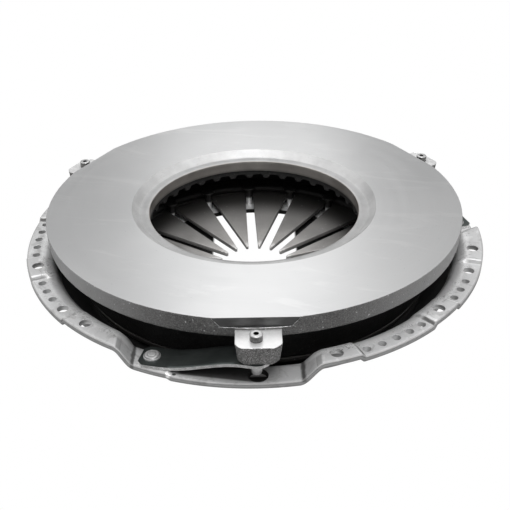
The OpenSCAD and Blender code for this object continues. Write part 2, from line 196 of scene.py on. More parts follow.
# --------------------------------------------------------------- materials
class Nodes:
    def __init__(self, name):
        self.m = bpy.data.materials.new(name)
        self.m.use_nodes = True
        self.t = self.m.node_tree
        self.t.nodes.clear()
        self.out = self.t.nodes.new("ShaderNodeOutputMaterial")
        self.b = self.t.nodes.new("ShaderNodeBsdfPrincipled")
        self.t.links.new(self.b.outputs[0], self.out.inputs[0])
        self.co = self.t.nodes.new("ShaderNodeTexCoord").outputs["Object"]

    def link(self, a, b):
        if isinstance(a, (int, float)):
            b.default_value = a
        elif isinstance(a, tuple):
            b.default_value = (*a, 1.0) if len(a) == 3 and len(b.default_value) == 4 else a
        else:
            self.t.links.new(a, b)

    def noise(self, scale, detail=3, rough=0.55, dist=0.0, co=None, out="Fac"):
        n = self.t.nodes.new("ShaderNodeTexNoise")
        self.link(co or self.co, n.inputs["Vector"])
        n.inputs["Scale"].default_value = scale
        n.inputs["Detail"].default_value = detail
        n.inputs["Roughness"].default_value = rough
        n.inputs["Distortion"].default_value = dist
        return n.outputs[out]

    def voronoi(self, scale, co=None, feature="F1", out="Distance", rand=1.0):
        n = self.t.nodes.new("ShaderNodeTexVoronoi")
        n.feature = feature
        self.link(co or self.co, n.inputs["Vector"])
        n.inputs["Scale"].default_value = scale
        n.inputs["Randomness"].default_value = rand
        return n.outputs[out]

    def math(self, op, a, b=0.0, c=None, clamp=False):
        n = self.t.nodes.new("ShaderNodeMath")
        n.operation, n.use_clamp = op, clamp
        self.link(a, n.inputs[0])
        self.link(b, n.inputs[1])
        if c is not None:
            self.link(c, n.inputs[2])
        return n.outputs[0]

    def span(self, v, a, b, lo=0.0, hi=1.0):
        n = self.t.nodes.new("ShaderNodeMapRange")
        n.clamp = True
        self.link(v, n.inputs[0])
        for i, x in enumerate((a, b, lo, hi)):
            n.inputs[i + 1].default_value = x
        return n.outputs[0]

    def smooth(self, v, a, b, lo=0.0, hi=1.0):
        n = self.t.nodes.new("ShaderNodeMapRange")
        n.interpolation_type = "SMOOTHSTEP"
        self.link(v, n.inputs[0])
        for i, x in enumerate((a, b, lo, hi)):
            n.inputs[i + 1].default_value = x
        return n.outputs[0]

    def mix(self, f, a, b, blend="MIX"):
        n = self.t.nodes.new("ShaderNodeMix")
        n.data_type, n.blend_type = "RGBA", blend
        self.link(f, n.inputs[0])
        self.link(a, n.inputs[6])
        self.link(b, n.inputs[7])
        return n.outputs[2]

    def fmix(self, f, a, b):
        n = self.t.nodes.new("ShaderNodeMix")
        n.data_type = "FLOAT"
        self.link(f, n.inputs[0])
        self.link(a, n.inputs[2])
        self.link(b, n.inputs[3])
        return n.outputs[0]

    def xyz(self, co=None):
        n = self.t.nodes.new("ShaderNodeSeparateXYZ")
        self.link(co or self.co, n.inputs[0])
        return n.outputs

    def vec(self, x, y, z):
        n = self.t.nodes.new("ShaderNodeCombineXYZ")
        for i, v in enumerate((x, y, z)):
            self.link(v, n.inputs[i])
        return n.outputs[0]

    def scaled(self, s, co=None):
        n = self.t.nodes.new("ShaderNodeMapping")
        self.link(co or self.co, n.inputs[0])
        n.inputs["Scale"].default_value = s
        return n.outputs[0]

    def polar(self):
        """(radius in metres, angle, height) of the point about the clutch axis."""
        x, y, z = self.xyz()
        r = self.math("SQRT", self.math("ADD", self.math("MULTIPLY", x, x), self.math("MULTIPLY", y, y)))
        return r, self.math("ARCTAN2", y, x), z

    def lug(self):
        """(x, y) in metres in the frame of the nearest of the three lugs, which lies towards -y."""
        r, a, z = self.polar()
        t = self.math("WRAP", self.math("ADD", a, math.radians(90 - 12.5)), math.radians(60), math.radians(-60))
        return self.math("MULTIPLY", r, self.math("SINE", t)), self.math("MULTIPLY", self.math("MULTIPLY", r, self.math("COSINE", t)), -1.0)

    def away(self, x, y, cx, cy):
        """distance in metres from (cx, cy)"""
        dx, dy = self.math("SUBTRACT", x, cx), self.math("SUBTRACT", y, cy)
        return self.math("SQRT", self.math("ADD", self.math("MULTIPLY", dx, dx), self.math("MULTIPLY", dy, dy)))

    def bump(self, h, strength=0.3, dist=0.001, normal=None):
        n = self.t.nodes.new("ShaderNodeBump")
        n.inputs["Strength"].default_value = strength
        n.inputs["Distance"].default_value = dist
        self.link(h, n.inputs["Height"])
        if normal is not None:
            self.link(normal, n.inputs["Normal"])
        return n.outputs[0]

    def done(self, color=None, rough=None, metal=None, normal=None, **k):
        for name, v in (("Base Color", color), ("Roughness", rough), ("Metallic", metal), ("Normal", normal)):
            if v is not None:
                self.link(v, self.b.inputs[name])
        for name, v in k.items():
            self.b.inputs[name.replace("_", " ").title()].default_value = v
        return self.m


def grey(v, warm=0.0):
    return (v * (1 + warm), v, v * (1 - warm))


def cover_steel():
    n = Nodes("cover_steel")
    r, a, z = n.polar()
    x, y, _ = n.xyz()
    big = n.noise(16, 3, 0.6)
    fine = n.noise(420, 3, 0.6)
    mid = n.noise(75, 4, 0.62, 0.8)
    # drawn streaks that follow the pressing round
    streak = n.noise(1.0, 3, 0.6, co=n.vec(n.math("MULTIPLY", r, 900.0), n.math("MULTIPLY", a, 9.0), n.math("MULTIPLY", z, 500.0)))
    # wiped swirls
    swirl = n.noise(26, 4, 0.65, 2.2)
    base = n.mix(n.smooth(big, 0.32, 0.70), grey(0.53, 0.0), grey(0.64, -0.004))
    base = n.mix(n.math("MULTIPLY", n.smooth(streak, 0.45, 0.75), 0.22), base, grey(0.72))
    base = n.mix(n.math("MULTIPLY", n.smooth(swirl, 0.56, 0.68), 0.5), base, grey(0.84))
    base = n.mix(n.math("MULTIPLY", n.smooth(mid, 0.52, 0.68), 0.52), base, grey(0.30, 0.012))
    # the tools leave scuffs and dark pits round the flange bend
    bend = n.math("MULTIPLY", n.smooth(r, 0.2015, 0.2045), n.smooth(r, 0.2135, 0.2095))
    bend = n.math("MULTIPLY", bend, n.smooth(z, -0.0045, -0.0012))
    scuff = n.math("MULTIPLY", bend, n.smooth(n.noise(240, 3, 0.6, 1.5), 0.54, 0.62))
    base = n.mix(n.math("MULTIPLY", scuff, 0.75), base, grey(0.16, 0.02))
    shine = n.math("MULTIPLY", bend, n.smooth(n.noise(150, 2, 0.5, 1.0), 0.60, 0.68))
    base = n.mix(n.math("MULTIPLY", shine, 0.6), base, grey(0.92))
    spots = n.math("MULTIPLY", n.smooth(n.noise(170, 2, 0.5), 0.69, 0.75), n.smooth(big, 0.45, 0.6))
    base = n.mix(n.math("MULTIPLY", spots, 0.7), base, grey(0.20, 0.02))
    # painted shade along the feet of the recess slopes and in the hole under the lug rivet; the hidden wall gets its
    # painted shade further down
    lx, ly = n.lug()
    ragged = n.span(n.noise(180, 3, 0.6), 0.3, 0.7, -0.0006, 0.0006)
    foot_l = n.smooth(n.math("ABSOLUTE", n.math("ADD", n.math("ADD", lx, 0.1012), ragged)), 0.0021, 0.0005)
    foot_r = n.smooth(n.math("ABSOLUTE", n.math("ADD", n.math("SUBTRACT", lx, 0.0372), ragged)), 0.0026, 0.0006)
    foot = n.math("MULTIPLY", n.math("MAXIMUM", foot_l, foot_r), n.math("MULTIPLY", n.smooth(z, -0.0085, -0.0105), n.smooth(z, -0.0165, -0.0155)))
    base = n.mix(n.math("MULTIPLY", foot, 0.88), base, grey(0.07, 0.02))
    hole = n.math("MULTIPLY", n.smooth(n.away(lx, ly, 0.001, -0.2115), 0.0087, 0.0081), n.smooth(z, -0.0144, -0.0148))
    base = n.mix(hole, base, grey(0.012))
    # painted shade on the short slopes beside the pads, which are also made rougher, and a painted highlight along
    # their brow
    slope = n.math("MULTIPLY", n.math("MULTIPLY", n.smooth(z, -0.0003, -0.0009), n.smooth(z, -0.0033, -0.0029)), n.smooth(r, 0.206, 0.2085))
    slope = n.math("MULTIPLY", slope, n.smooth(r, 0.2218, 0.2210))
    base = n.mix(n.math("MULTIPLY", slope, 0.80), base, grey(0.26))
    brow = n.math("MULTIPLY", n.math("MULTIPLY", n.smooth(z, -0.00004, -0.00012), n.smooth(z, -0.0007, -0.0004)), n.smooth(r, 0.2102, 0.2112))
    base = n.mix(n.math("MULTIPLY", n.math("MULTIPLY", brow, n.smooth(r, 0.2214, 0.2208)), 0.3), base, grey(0.9))
    # painted shade: a dark line at the foot of each step; painted highlight: bright lines along pad edges
    psi = n.math("MULTIPLY", n.math("ARCTAN2", lx, n.math("MULTIPLY", ly, -1.0)), 180 / math.pi)
    on_pad = n.math("MULTIPLY", n.smooth(z, -0.0052, -0.0040), n.math("MULTIPLY", n.smooth(r, 0.2005, 0.2030), n.smooth(r, 0.2219, 0.2212)))
    for at, wide, strong in ((22.75, 0.42, 0.85), (42.45, 0.36, 0.80), (-47.35, 0.16, 0.4), (52.75, 0.14, 0.4)):
        off = n.math("ABSOLUTE", n.math("ADD", n.math("SUBTRACT", psi, at), n.math("MULTIPLY", ragged, 260.0)))
        line = n.math("MULTIPLY", n.smooth(off, wide, wide * 0.35), on_pad)
        base = n.mix(n.math("MULTIPLY", line, strong), base, grey(0.10, 0.02))
    for at, wide, strong in ((52.0, 0.24, 0.65), (22.0, 0.16, 0.45), (43.25, 0.16, 0.5)):
        off = n.math("ABSOLUTE", n.math("SUBTRACT", psi, at))
        line = n.math("MULTIPLY", n.smooth(off, wide, wide * 0.4), on_pad)
        base = n.mix(n.math("MULTIPLY", line, strong), base, grey(0.95))
    # painted light: the flange bend down into the wall is made bright
    bend_light = n.math("MULTIPLY", n.math("MULTIPLY", n.smooth(r, 0.2115, 0.2070), n.smooth(z, -0.0105, -0.0060)), n.smooth(r, 0.198, 0.200))
    base = n.mix(n.math("MULTIPLY", bend_light, 0.45), base, grey(0.95))
    # painted shade on the deep inner wall, thinning out up to the flange bend; it is also made rougher and less
    # metallic
    mid_line = n.math("MULTIPLY_ADD", z, 0.35, 0.2022)
    wall_shade = n.math("MULTIPLY", n.smooth(n.math("SUBTRACT", r, mid_line), 0.0020, -0.0020), n.smooth(z, -0.0100, -0.0300))
    wall_shade = n.math("MULTIPLY", wall_shade, n.smooth(z, -0.0250, -0.0240))
    base = n.mix(n.math("MULTIPLY", wall_shade, 0.96), base, grey(0.022, 0.02))
    # painted shade on the inside of the shoulder and the dish floor, outward from about R 140 mm, also made rougher and
    # less metallic
    past = n.math("SUBTRACT", n.math("MULTIPLY", n.math("SUBTRACT", r, 0.1701), 0.6587), n.math("MULTIPLY", n.math("ADD", z, 0.0444), 0.7524))
    dish_shade = n.math("MULTIPLY", n.smooth(past, 0.0028, 0.0020), n.math("MULTIPLY", n.smooth(z, -0.0235, -0.0250), n.smooth(z, -0.0450, -0.0446)))
    dish_shade = n.math("MULTIPLY", dish_shade, n.smooth(r, 0.134, 0.150))
    base = n.mix(n.math("MULTIPLY", dish_shade, 0.97), base, grey(0.012, 0.02))
    # painted light: the dish round the opening, inside about R 135 mm, is made bright where light through the bore
    # falls
    ring = n.math("MULTIPLY", n.smooth(r, 0.137, 0.133), n.math("MULTIPLY", n.smooth(z, -0.0440, -0.0443), n.smooth(z, -0.0450, -0.0446)))
    base = n.mix(ring, base, grey(0.92))
    # painted shade on the edge of the opening
    lip = n.math("MULTIPLY", n.smooth(r, 0.12225, 0.12195), n.smooth(z, -0.0440, -0.0446))
    base = n.mix(lip, base, grey(0.03, 0.02))
    # painted shadow of the strap on the recess floor, which is also made rougher and less metallic there
    edge_l = n.math("MULTIPLY_ADD", lx, -0.19, -0.2205)
    strap_shadow = n.math("MULTIPLY", n.math("MULTIPLY", n.smooth(lx, -0.070, -0.060), n.smooth(lx, 0.010, -0.004)), n.smooth(n.math("SUBTRACT", ly, edge_l), -0.0016, 0.0014))
    strap_shadow = n.math("MULTIPLY", strap_shadow, n.math("MULTIPLY", n.smooth(z, -0.0138, -0.0143), n.smooth(z, -0.0160, -0.0150)))
    base = n.mix(n.math("MULTIPLY", strap_shadow, 0.93), base, grey(0.03, 0.02))
    # sheared edge: duller than the rolled surface, with a dark break line
    rim_edge = n.smooth(r, 0.2209, 0.2216)
    base = n.mix(n.math("MULTIPLY", rim_edge, 0.62), base, grey(0.20, 0.01))
    # a painted highlight where the seat steps down to the floor, with a dark spot beside it
    step_spot = n.math("MULTIPLY", n.smooth(n.away(lx, ly, -0.0705, -0.2085), 0.0032, 0.0022), n.smooth(z, -0.017, -0.016))
    base = n.mix(step_spot, base, grey(0.97))
    step_spot = n.math("MULTIPLY", n.smooth(n.away(lx, ly, -0.0662, -0.2085), 0.0019, 0.0011), n.smooth(z, -0.017, -0.016))
    base = n.mix(step_spot, base, grey(0.08))
    # water marks: thin contour lines round the pads
    contour = n.math("ABSOLUTE", n.math("SINE", n.math("MULTIPLY", n.noise(34, 3, 0.5, 0.6), 75.0)))
    marks = n.math("MULTIPLY", n.smooth(contour, 0.34, 0.08), n.math("MULTIPLY", n.smooth(n.noise(21, 1, 0.5), 0.48, 0.56), n.smooth(r, 0.2150, 0.2110)))
    marks = n.math("MULTIPLY", marks, n.smooth(z, -0.006, -0.002))
    base = n.mix(n.math("MULTIPLY", marks, 0.68), base, grey(0.17, 0.01))
    rough = n.math("ADD", n.span(mid, 0.3, 0.75, 0.34, 0.48), n.span(fine, 0.2, 0.8, -0.03, 0.05))
    h = n.math("ADD", n.math("MULTIPLY", fine, 0.35), n.math("MULTIPLY", mid, 0.9))
    h = n.math("SUBTRACT", h, n.math("MULTIPLY", scuff, 1.2))
    rough = n.math("ADD", rough, n.math("ADD", n.math("MULTIPLY", rim_edge, 0.22), n.math("ADD", n.math("MULTIPLY", slope, 0.2), n.math("MULTIPLY", strap_shadow, 0.2))))
    hidden = n.math("MAXIMUM", wall_shade, dish_shade)
    rough = n.math("ADD", rough, n.math("MULTIPLY", hidden, 0.45))
    metal = n.math("SUBTRACT", 0.62, n.math("ADD", n.math("MULTIPLY", rim_edge, 0.3), n.math("MULTIPLY", strap_shadow, 0.3)))
    metal = n.math("SUBTRACT", metal, n.math("MULTIPLY", hidden, 0.55))
    return n.done(base, rough, metal, n.bump(h, 0.14, 0.0006))


def cast_iron(name="cast_iron", tone=1.0, grainy=0.6, depth=0.55, big_grain=900, ends=True):
    n = Nodes(name)
    big = n.noise(30, 4, 0.6)
    grain = n.noise(big_grain, 3, 0.65)
    mid = n.noise(240, 4, 0.65)
    cell = n.voronoi(700)
    base = n.mix(n.smooth(big, 0.3, 0.7), grey(0.085 * tone, 0.015), grey(0.128 * tone, 0.01))
    base = n.mix(n.math("MULTIPLY", n.smooth(grain, 0.45, 0.75), grainy), base, grey(0.36 * tone, 0.01))
    base = n.mix(n.math("MULTIPLY", n.smooth(grain, 0.46, 0.32), grainy), base, grey(0.055 * tone, 0.01))
    if ends:
        # the skin is a little darker at the lugs' sides of the rim and lighter between them
        lx, ly = n.lug()
        base = n.mix(n.smooth(n.math("ABSOLUTE", lx), 0.05, 0.180, 0.0, 0.85), base, grey(0.40 * tone))
    # bright chips and sand grains
    chips = n.math("MULTIPLY", n.smooth(n.noise(520, 1, 0.4), 0.70, 0.76), n.smooth(n.noise(60, 2, 0.5), 0.48, 0.60))
    base = n.mix(n.math("MULTIPLY", chips, 0.85 if tone > 0.5 else 0.1), base, grey(0.70))
    pits = n.smooth(n.noise(380, 2, 0.5), 0.30, 0.22)
    base = n.mix(n.math("MULTIPLY", pits, 0.7), base, grey(0.03))
    h = n.math("ADD", n.math("MULTIPLY", mid, 0.8), n.math("ADD", n.math("MULTIPLY", cell, 0.4), n.math("MULTIPLY", grain, 0.9)))
    return n.done(base, n.span(grain, 0.3, 0.8, 0.42, 0.62), 0.45, n.bump(h, depth, 0.0008))


def ground_face():
    n = Nodes("ground_face")
    r, a, z = n.polar()
    # fine grinding marks run round the axis
    ring = n.noise(1.0, 2, 0.7, co=n.vec(n.math("MULTIPLY", r, 5200.0), n.math("MULTIPLY", a, 3.0), 0.0))
    ring2 = n.noise(1.0, 2, 0.6, co=n.vec(n.math("MULTIPLY", r, 1100.0), n.math("MULTIPLY", a, 1.5), 3.0))
    lap = n.noise(1.0, 3, 0.6, co=n.vec(n.math("MULTIPLY", r, 160.0), n.math("MULTIPLY", a, 0.8), 9.0))
    cloud = n.noise(9, 3, 0.5)
    wipe = n.noise(1.0, 4, 0.65, dist=0.8, co=n.scaled((10, 42, 10)))
    base = n.mix(n.smooth(cloud, 0.3, 0.7), grey(0.66, -0.006), grey(0.72, -0.003))
    base = n.mix(n.math("MULTIPLY", n.smooth(ring, 0.35, 0.75), 0.14), base, grey(0.56))
    base = n.mix(n.math("MULTIPLY", n.smooth(ring2, 0.55, 0.8), 0.10), base, grey(0.84))
    base = n.mix(n.math("MULTIPLY", n.smooth(wipe, 0.54, 0.70), 0.34), base, grey(0.82))
    speck = n.smooth(n.noise(700, 1, 0.4), 0.775, 0.80)
    base = n.mix(n.math("MULTIPLY", speck, 0.55), base, grey(0.25))
    rough = n.math("ADD", n.span(lap, 0.3, 0.7, 0.31, 0.35), n.span(ring, 0.2, 0.8, -0.02, 0.03))
    h = n.math("ADD", n.math("MULTIPLY", ring, 0.7), n.math("MULTIPLY", ring2, 0.6))
    return n.done(base, rough, 1.0, n.bump(h, 0.05, 0.0004))


def turned(name="turned", tone=0.42, rough=0.36, warm=0.0, pitch=2600.0, strength=0.18, metal=1.0, fade=None):
    """Lathe-cut iron: a fine groove every 0.4 mm or so."""
    n = Nodes(name)
    r, a, z = n.polar()
    run = n.math("MULTIPLY", n.math("ADD", r, z), pitch)
    groove = n.noise(1.0, 2, 0.6, co=n.vec(run, n.math("MULTIPLY", a, 2.0), 1.0))
    grain = n.noise(600, 3, 0.6)
    cloud = n.noise(40, 3, 0.6)
    base = n.mix(n.smooth(cloud, 0.3, 0.7), grey(tone * 0.88, warm), grey(tone * 1.1, warm))
    base = n.mix(n.math("MULTIPLY", n.smooth(groove, 0.4, 0.8), 0.25), base, grey(tone * 1.35, warm))
    base = n.mix(n.math("MULTIPLY", n.smooth(grain, 0.62, 0.75), 0.5), base, grey(tone * 0.55, warm))
    if fade:
        # darker towards the back edge
        base = n.mix(n.math("MULTIPLY", n.smooth(z, *fade), 0.9), base, grey(0.025, warm))
    h = n.math("ADD", groove, n.math("MULTIPLY", grain, 0.4))
    return n.done(base, n.span(cloud, 0.3, 0.7, rough - 0.04, rough + 0.06), metal, n.bump(h, strength, 0.0005))


def milled(name="milled", tone=0.10, rough=0.42):
    n = Nodes(name)
    x, y, z = n.xyz()
    cut = n.noise(1.0, 2, 0.6, co=n.vec(n.math("MULTIPLY", x, 90.0), n.math("MULTIPLY", y, 90.0), n.math("MULTIPLY", z, 2600.0)))
    cloud = n.noise(60, 3, 0.6)
    base = n.mix(n.smooth(cloud, 0.3, 0.7), grey(tone * 0.85), grey(tone * 1.15))
    base = n.mix(n.math("MULTIPLY", n.smooth(cut, 0.4, 0.8), 0.35), base, grey(tone * 1.6))
    return n.done(base, rough, 0.8, n.bump(cut, 0.2, 0.0005))


def lug_face():
    n = Nodes("lug_face")
    cloud = n.noise(120, 3, 0.6)
    cut = n.noise(1.0, 2, 0.6, co=n.scaled((900, 220, 900)))
    base = n.mix(n.smooth(cloud, 0.3, 0.7), grey(0.74), grey(0.83))
    base = n.mix(n.math("MULTIPLY", n.smooth(cut, 0.55, 0.8), 0.25), base, grey(0.58))
    return n.done(base, n.span(cloud, 0.3, 0.7, 0.34, 0.44), 0.75, n.bump(cut, 0.12, 0.0004))


def spring_steel():
    n = Nodes("spring_steel")
    r, a, z = n.polar()
    cloud = n.noise(22, 4, 0.62)
    grain = n.noise(650, 3, 0.6)
    lay = n.noise(1.0, 3, 0.6, co=n.vec(n.math("MULTIPLY", r, 60.0), n.math("MULTIPLY", a, 160.0), 0.0))
    base = n.mix(n.smooth(cloud, 0.3, 0.7), (0.27, 0.263, 0.256), (0.37, 0.36, 0.352))
    base = n.mix(n.math("MULTIPLY", n.smooth(lay, 0.45, 0.8), 0.35), base, (0.46, 0.45, 0.44))
    # painted shade: the spring darkens outward from about R 52 mm and is near black past R 90 to 126 mm, where the
    # plate shades it
    base = n.mix(n.math("MULTIPLY", n.smooth(r, 0.052, 0.092), 0.42), base, (0.12, 0.117, 0.113))
    base = n.mix(n.smooth(r, 0.090, 0.126), base, (0.05, 0.048, 0.046))
    # polished where the release bearing rubs
    tip = n.math("MULTIPLY", n.smooth(r, 0.047, 0.038), n.span(n.noise(240, 2, 0.5), 0.35, 0.6, 0.3, 1.0))
    base = n.mix(n.math("MULTIPLY", tip, 0.8), base, grey(0.62, 0.01))
    spots = n.smooth(n.noise(330, 2, 0.5), 0.70, 0.76)
    base = n.mix(n.math("MULTIPLY", spots, 0.5), base, grey(0.45, 0.02))
    rough = n.math("ADD", n.span(cloud, 0.3, 0.7, 0.36, 0.48), n.span(grain, 0.2, 0.8, -0.04, 0.05))
    h = n.math("ADD", n.math("MULTIPLY", grain, 0.5), n.math("MULTIPLY", lay, 0.6))
    return n.done(base, rough, 0.4, n.bump(h, 0.14, 0.0005))


def strap_steel():
    n = Nodes("strap_steel")
    cloud = n.noise(26, 3, 0.6)
    roll = n.noise(1.0, 3, 0.6, co=n.scaled((60, 900, 60)))
    grain = n.noise(800, 2, 0.6)
    base = n.mix(n.smooth(cloud, 0.3, 0.7), (0.062, 0.071, 0.069), (0.095, 0.106, 0.103))
    base = n.mix(n.math("MULTIPLY", n.smooth(roll, 0.5, 0.8), 0.3), base, (0.17, 0.18, 0.175))
    rough = n.math("ADD", n.span(cloud, 0.3, 0.7, 0.30, 0.40), n.span(grain, 0.2, 0.8, -0.03, 0.04))
    return n.done(base, rough, 0.85, n.bump(n.math("ADD", grain, roll), 0.05, 0.0004))


def strap_edge():
    n = Nodes("strap_edge")
    worn = n.noise(260, 3, 0.7)
    glint = n.smooth(n.noise(120, 2, 0.5), 0.62, 0.68)
    base = n.mix(n.smooth(worn, 0.35, 0.7), grey(0.62, 0.01), grey(0.92, 0.0))
    base = n.mix(glint, base, grey(0.98))
    return n.done(base, 0.5, 0.6, n.bump(worn, 0.3, 0.0004))


def plated(name="plated", tone=0.50, rough=0.34, warm=0.0, metal=1.0, dirt=0.5):
    n = Nodes(name)
    cloud = n.noise(160, 4, 0.6)
    fine = n.noise(1400, 2, 0.6)
    base = n.mix(n.smooth(cloud, 0.32, 0.68), grey(tone * 0.72, warm), grey(tone * 1.2, warm))
    base = n.mix(n.math("MULTIPLY", n.smooth(n.noise(420, 3, 0.6), 0.58, 0.74), dirt), base, grey(tone * 0.4, warm))
    return n.done(base, n.span(cloud, 0.3, 0.7, rough - 0.05, rough + 0.09), metal, n.bump(n.math("ADD", cloud, fine), 0.16, 0.0004))


def lug_rivet():
    """Bright spun end and lower cone, dull barrel between."""
    n = Nodes("rivet_lug")
    r, a, z = n.polar()
    lx, ly = n.lug()
    rho = n.away(lx, ly, 0.0, -0.2115)
    cloud = n.noise(190, 4, 0.6)
    ring = n.noise(1.0, 2, 0.6, co=n.vec(n.math("MULTIPLY", rho, 2600.0), n.math("MULTIPLY", z, 1800.0), 0.0))
    barrel = n.mix(n.smooth(cloud, 0.35, 0.65), grey(0.10, 0.01), grey(0.24, 0.01))
    top = n.mix(n.smooth(ring, 0.4, 0.7), grey(0.52), grey(0.74))
    low = n.mix(n.smooth(cloud, 0.35, 0.65), grey(0.62), grey(0.80))
    base = n.mix(n.math("ADD", n.smooth(z, 0.0259, 0.0266), 0.0), barrel, top)
    # painted shade: near black at the barrel's foot on the lug and below it
    base = n.mix(n.smooth(z, 0.0215, 0.0223), grey(0.03), base)
    base = n.mix(n.smooth(z, 0.012, 0.010), base, low)
    # painted shade in the rivet's bore
    bore = n.math("MULTIPLY", n.smooth(rho, 0.00225, 0.00205), n.smooth(z, 0.0, 0.001))
    base = n.mix(bore, base, grey(0.01))
    return n.done(base, n.span(cloud, 0.3, 0.7, 0.32, 0.44), n.fmix(n.smooth(z, 0.012, 0.010), 0.9, 0.25),
                  n.bump(n.math("ADD", cloud, n.math("MULTIPLY", ring, 0.5)), 0.16, 0.0004))


def seat_rivet():
    """Flat headed rivet: closing-tool rings, light and dark, the darkest in the groove."""
    n = Nodes("rivet_seat")
    r, a, z = n.polar()
    lx, ly = n.lug()
    rho = n.away(lx, ly, float(SEAT_XY[0]) * 0.001, float(SEAT_XY[1]) * 0.001)
    cloud = n.noise(190, 4, 0.6)
    base = n.mix(n.smooth(cloud, 0.32, 0.68), grey(0.30), grey(0.46))
    for at, half, tone, share in ((0.0062, 0.00045, 0.06, 0.75), (0.0036, 0.00035, 0.14, 0.5), (0.0049, 0.0005, 0.50, 0.4), (0.00685, 0.0003, 0.62, 0.5)):
        line = n.smooth(n.math("ABSOLUTE", n.math("SUBTRACT", rho, at)), half * 1.5, half * 0.5)
        base = n.mix(n.math("MULTIPLY", n.math("MULTIPLY", line, share), n.span(n.noise(260, 2, 0.5), 0.35, 0.6, 0.45, 1.0)), base, grey(tone))
    return n.done(base, n.span(cloud, 0.3, 0.7, 0.40, 0.52), 0.6, n.bump(cloud, 0.16, 0.0004))


SEAT_XY = 208.8 * np.array([math.sin(math.radians(-24.05)), -math.cos(math.radians(24.05))])


def fulcrum_rivet():
    """Plated shank; the head and its foot are made near black, a painted shade for the shadow under the plate."""
    n = Nodes("rivet_dark")
    r, a, z = n.polar()
    cloud = n.noise(190, 4, 0.6)
    bright = n.mix(n.smooth(cloud, 0.32, 0.68), grey(0.70), grey(0.92))
    dull = n.mix(n.smooth(cloud, 0.32, 0.68), grey(0.035, 0.02), grey(0.06, 0.02))
    base = n.mix(n.smooth(z, -0.0375, -0.0345), bright, dull)
    return n.done(base, n.span(cloud, 0.3, 0.7, 0.38, 0.5), 0.6, n.bump(cloud, 0.16, 0.0004))


def burr_metal():
    n = Nodes("burr_metal")
    worn = n.noise(300, 3, 0.7)
    return n.done(n.mix(n.smooth(worn, 0.4, 0.65), grey(0.5), grey(0.95)), 0.3, 1.0)


M = {
    # the under copy of the cast iron is near black, a painted shade for the plate's underside
    "cover": cover_steel(), "cast": cast_iron(), "lugcast": cast_iron("lug_cast", 1.5, 1.0, 1.0, 1050, False), "under": cast_iron("cast_iron_painted_shade", 0.22, 0.4, 0.5, 900, False), "face": ground_face(),
    "cone": turned("turned_cone", 0.54, 0.56, 0.0, metal=0.78), "land": turned("turned_land", 0.46, 0.42, 0.0, metal=0.95),
    "bore": turned("turned_bore", 0.47, 0.46, 0.05, fade=(0.0170, 0.0112)), "milled": milled(), "lugtop": lug_face(),
    "spring": spring_steel(), "strap": strap_steel(), "strapedge": strap_edge(),
    # the wire rings get a near-black tone, a painted shade for the dark round them under the plate
    "wire": plated("wire_steel", 0.022, 0.60, 0.02, metal=0.3), "frivet": fulcrum_rivet(),
    "seat": seat_rivet(), "tube": lug_rivet(), "washer": plated("washer", 0.5, 0.35),
    "burr": burr_metal(),
}

# ------------------------------------------------------------------- cover
T_SHEET, FLANGE_R, OPEN_R, INNER = 4.8, 222.5, 121.0, 44.4
WK = 17 / 44.4
WA = math.degrees(math.atan(WK))
HU = math.tan(math.radians((90 - WA) / 2))


def wall_r(z):
    return 203 + WK * z


LOW, SEAT, FLOOR = -3.3, -12.7, -14.5
SH_A, SH_Z, BEND_I, BEND_U = 41.2, 23.5, 6.0, 10.0      # shoulder slope and start, inside bends, flange bend


def corner_c(p, r, t1, t2):
    t1, t2 = math.radians(t1), math.radians(t2)
    k = r / (1 + math.cos(t1 - t2))
    return (p[0] - k * (math.cos(t1) + math.cos(t2)), p[1] - k * (math.sin(t1) + math.sin(t2)))


SH_P = (wall_r(-SH_Z), -SH_Z)
BACK_P = (SH_P[0] - (INNER - SH_Z) / math.tan(math.radians(SH_A)), -INNER)
SH_C = corner_c(SH_P, BEND_I, 270 + SH_A, 360 - WA)
BACK_C = corner_c(BACK_P, BEND_I, 270, 270 + SH_A)
STEP_W = 3.2
STEP_M = T_SHEET * math.tan(math.atan(3.3 / STEP_W) / 2)
ML = T_SHEET * math.tan(math.atan(12.7 / 11) / 2)
MS = T_SHEET * math.tan(math.atan(1.8 / 3) / 2)
MR = T_SHEET * math.tan(math.atan(14.5 / 14) / 2)
R_HOLD = 197.0


def line_x(x):
    return lambda R: np.degrees(np.arcsin(x / np.maximum(R, R_HOLD)))


def line_u(a, u):
    return lambda R: a + np.degrees(np.arcsin(u / np.maximum(R, R_HOLD)))


def line_r(a):
    return lambda R: a + 0 * np.asarray(R, float)


REL5, REL7 = (-1, -0.5, 0, 0.5, 1), (-1, -0.67, -0.33, 0, 0.33, 0.67, 1)


def keys_for(kind, a, pts_t, ws_t, pts_u, ws_u):
    """Key columns of one set of parallel creases: (angle top, height top, angle under, height under)."""
    keys = []
    mk = (lambda x: line_x(x)) if kind == "x" else (lambda x: line_u(a, x))
    for i, (pt, wt, pu, wu) in enumerate(zip(pts_t, ws_t, pts_u, ws_u)):
        rel = REL7 if max(wt, wu) > 1.5 else REL5
        for q in rel:
            keys.append((pt[0] + q * wt, pu[0] + q * wu))
        if i + 1 < len(pts_t):
            gap = pts_t[i + 1][0] - pt[0]
            if gap < 20:
                for q in (0.33, 0.67) if gap < 6 else (0.25, 0.5, 0.75):
                    a0, a1 = pt[0] + wt, pts_t[i + 1][0] - ws_t[i + 1]
                    b0, b1 = pu[0] + wu, pts_u[i + 1][0] - ws_u[i + 1]
                    if a1 > a0 + 0.2 and b1 > b0 + 0.2:
                        keys.append((a0 + (a1 - a0) * q, b0 + (b1 - b0) * q))
    keys.sort()
    return [(mk(t), float(pl(t, pts_t, ws_t)), mk(u), float(pl(u, pts_u, ws_u))) for t, u in keys]


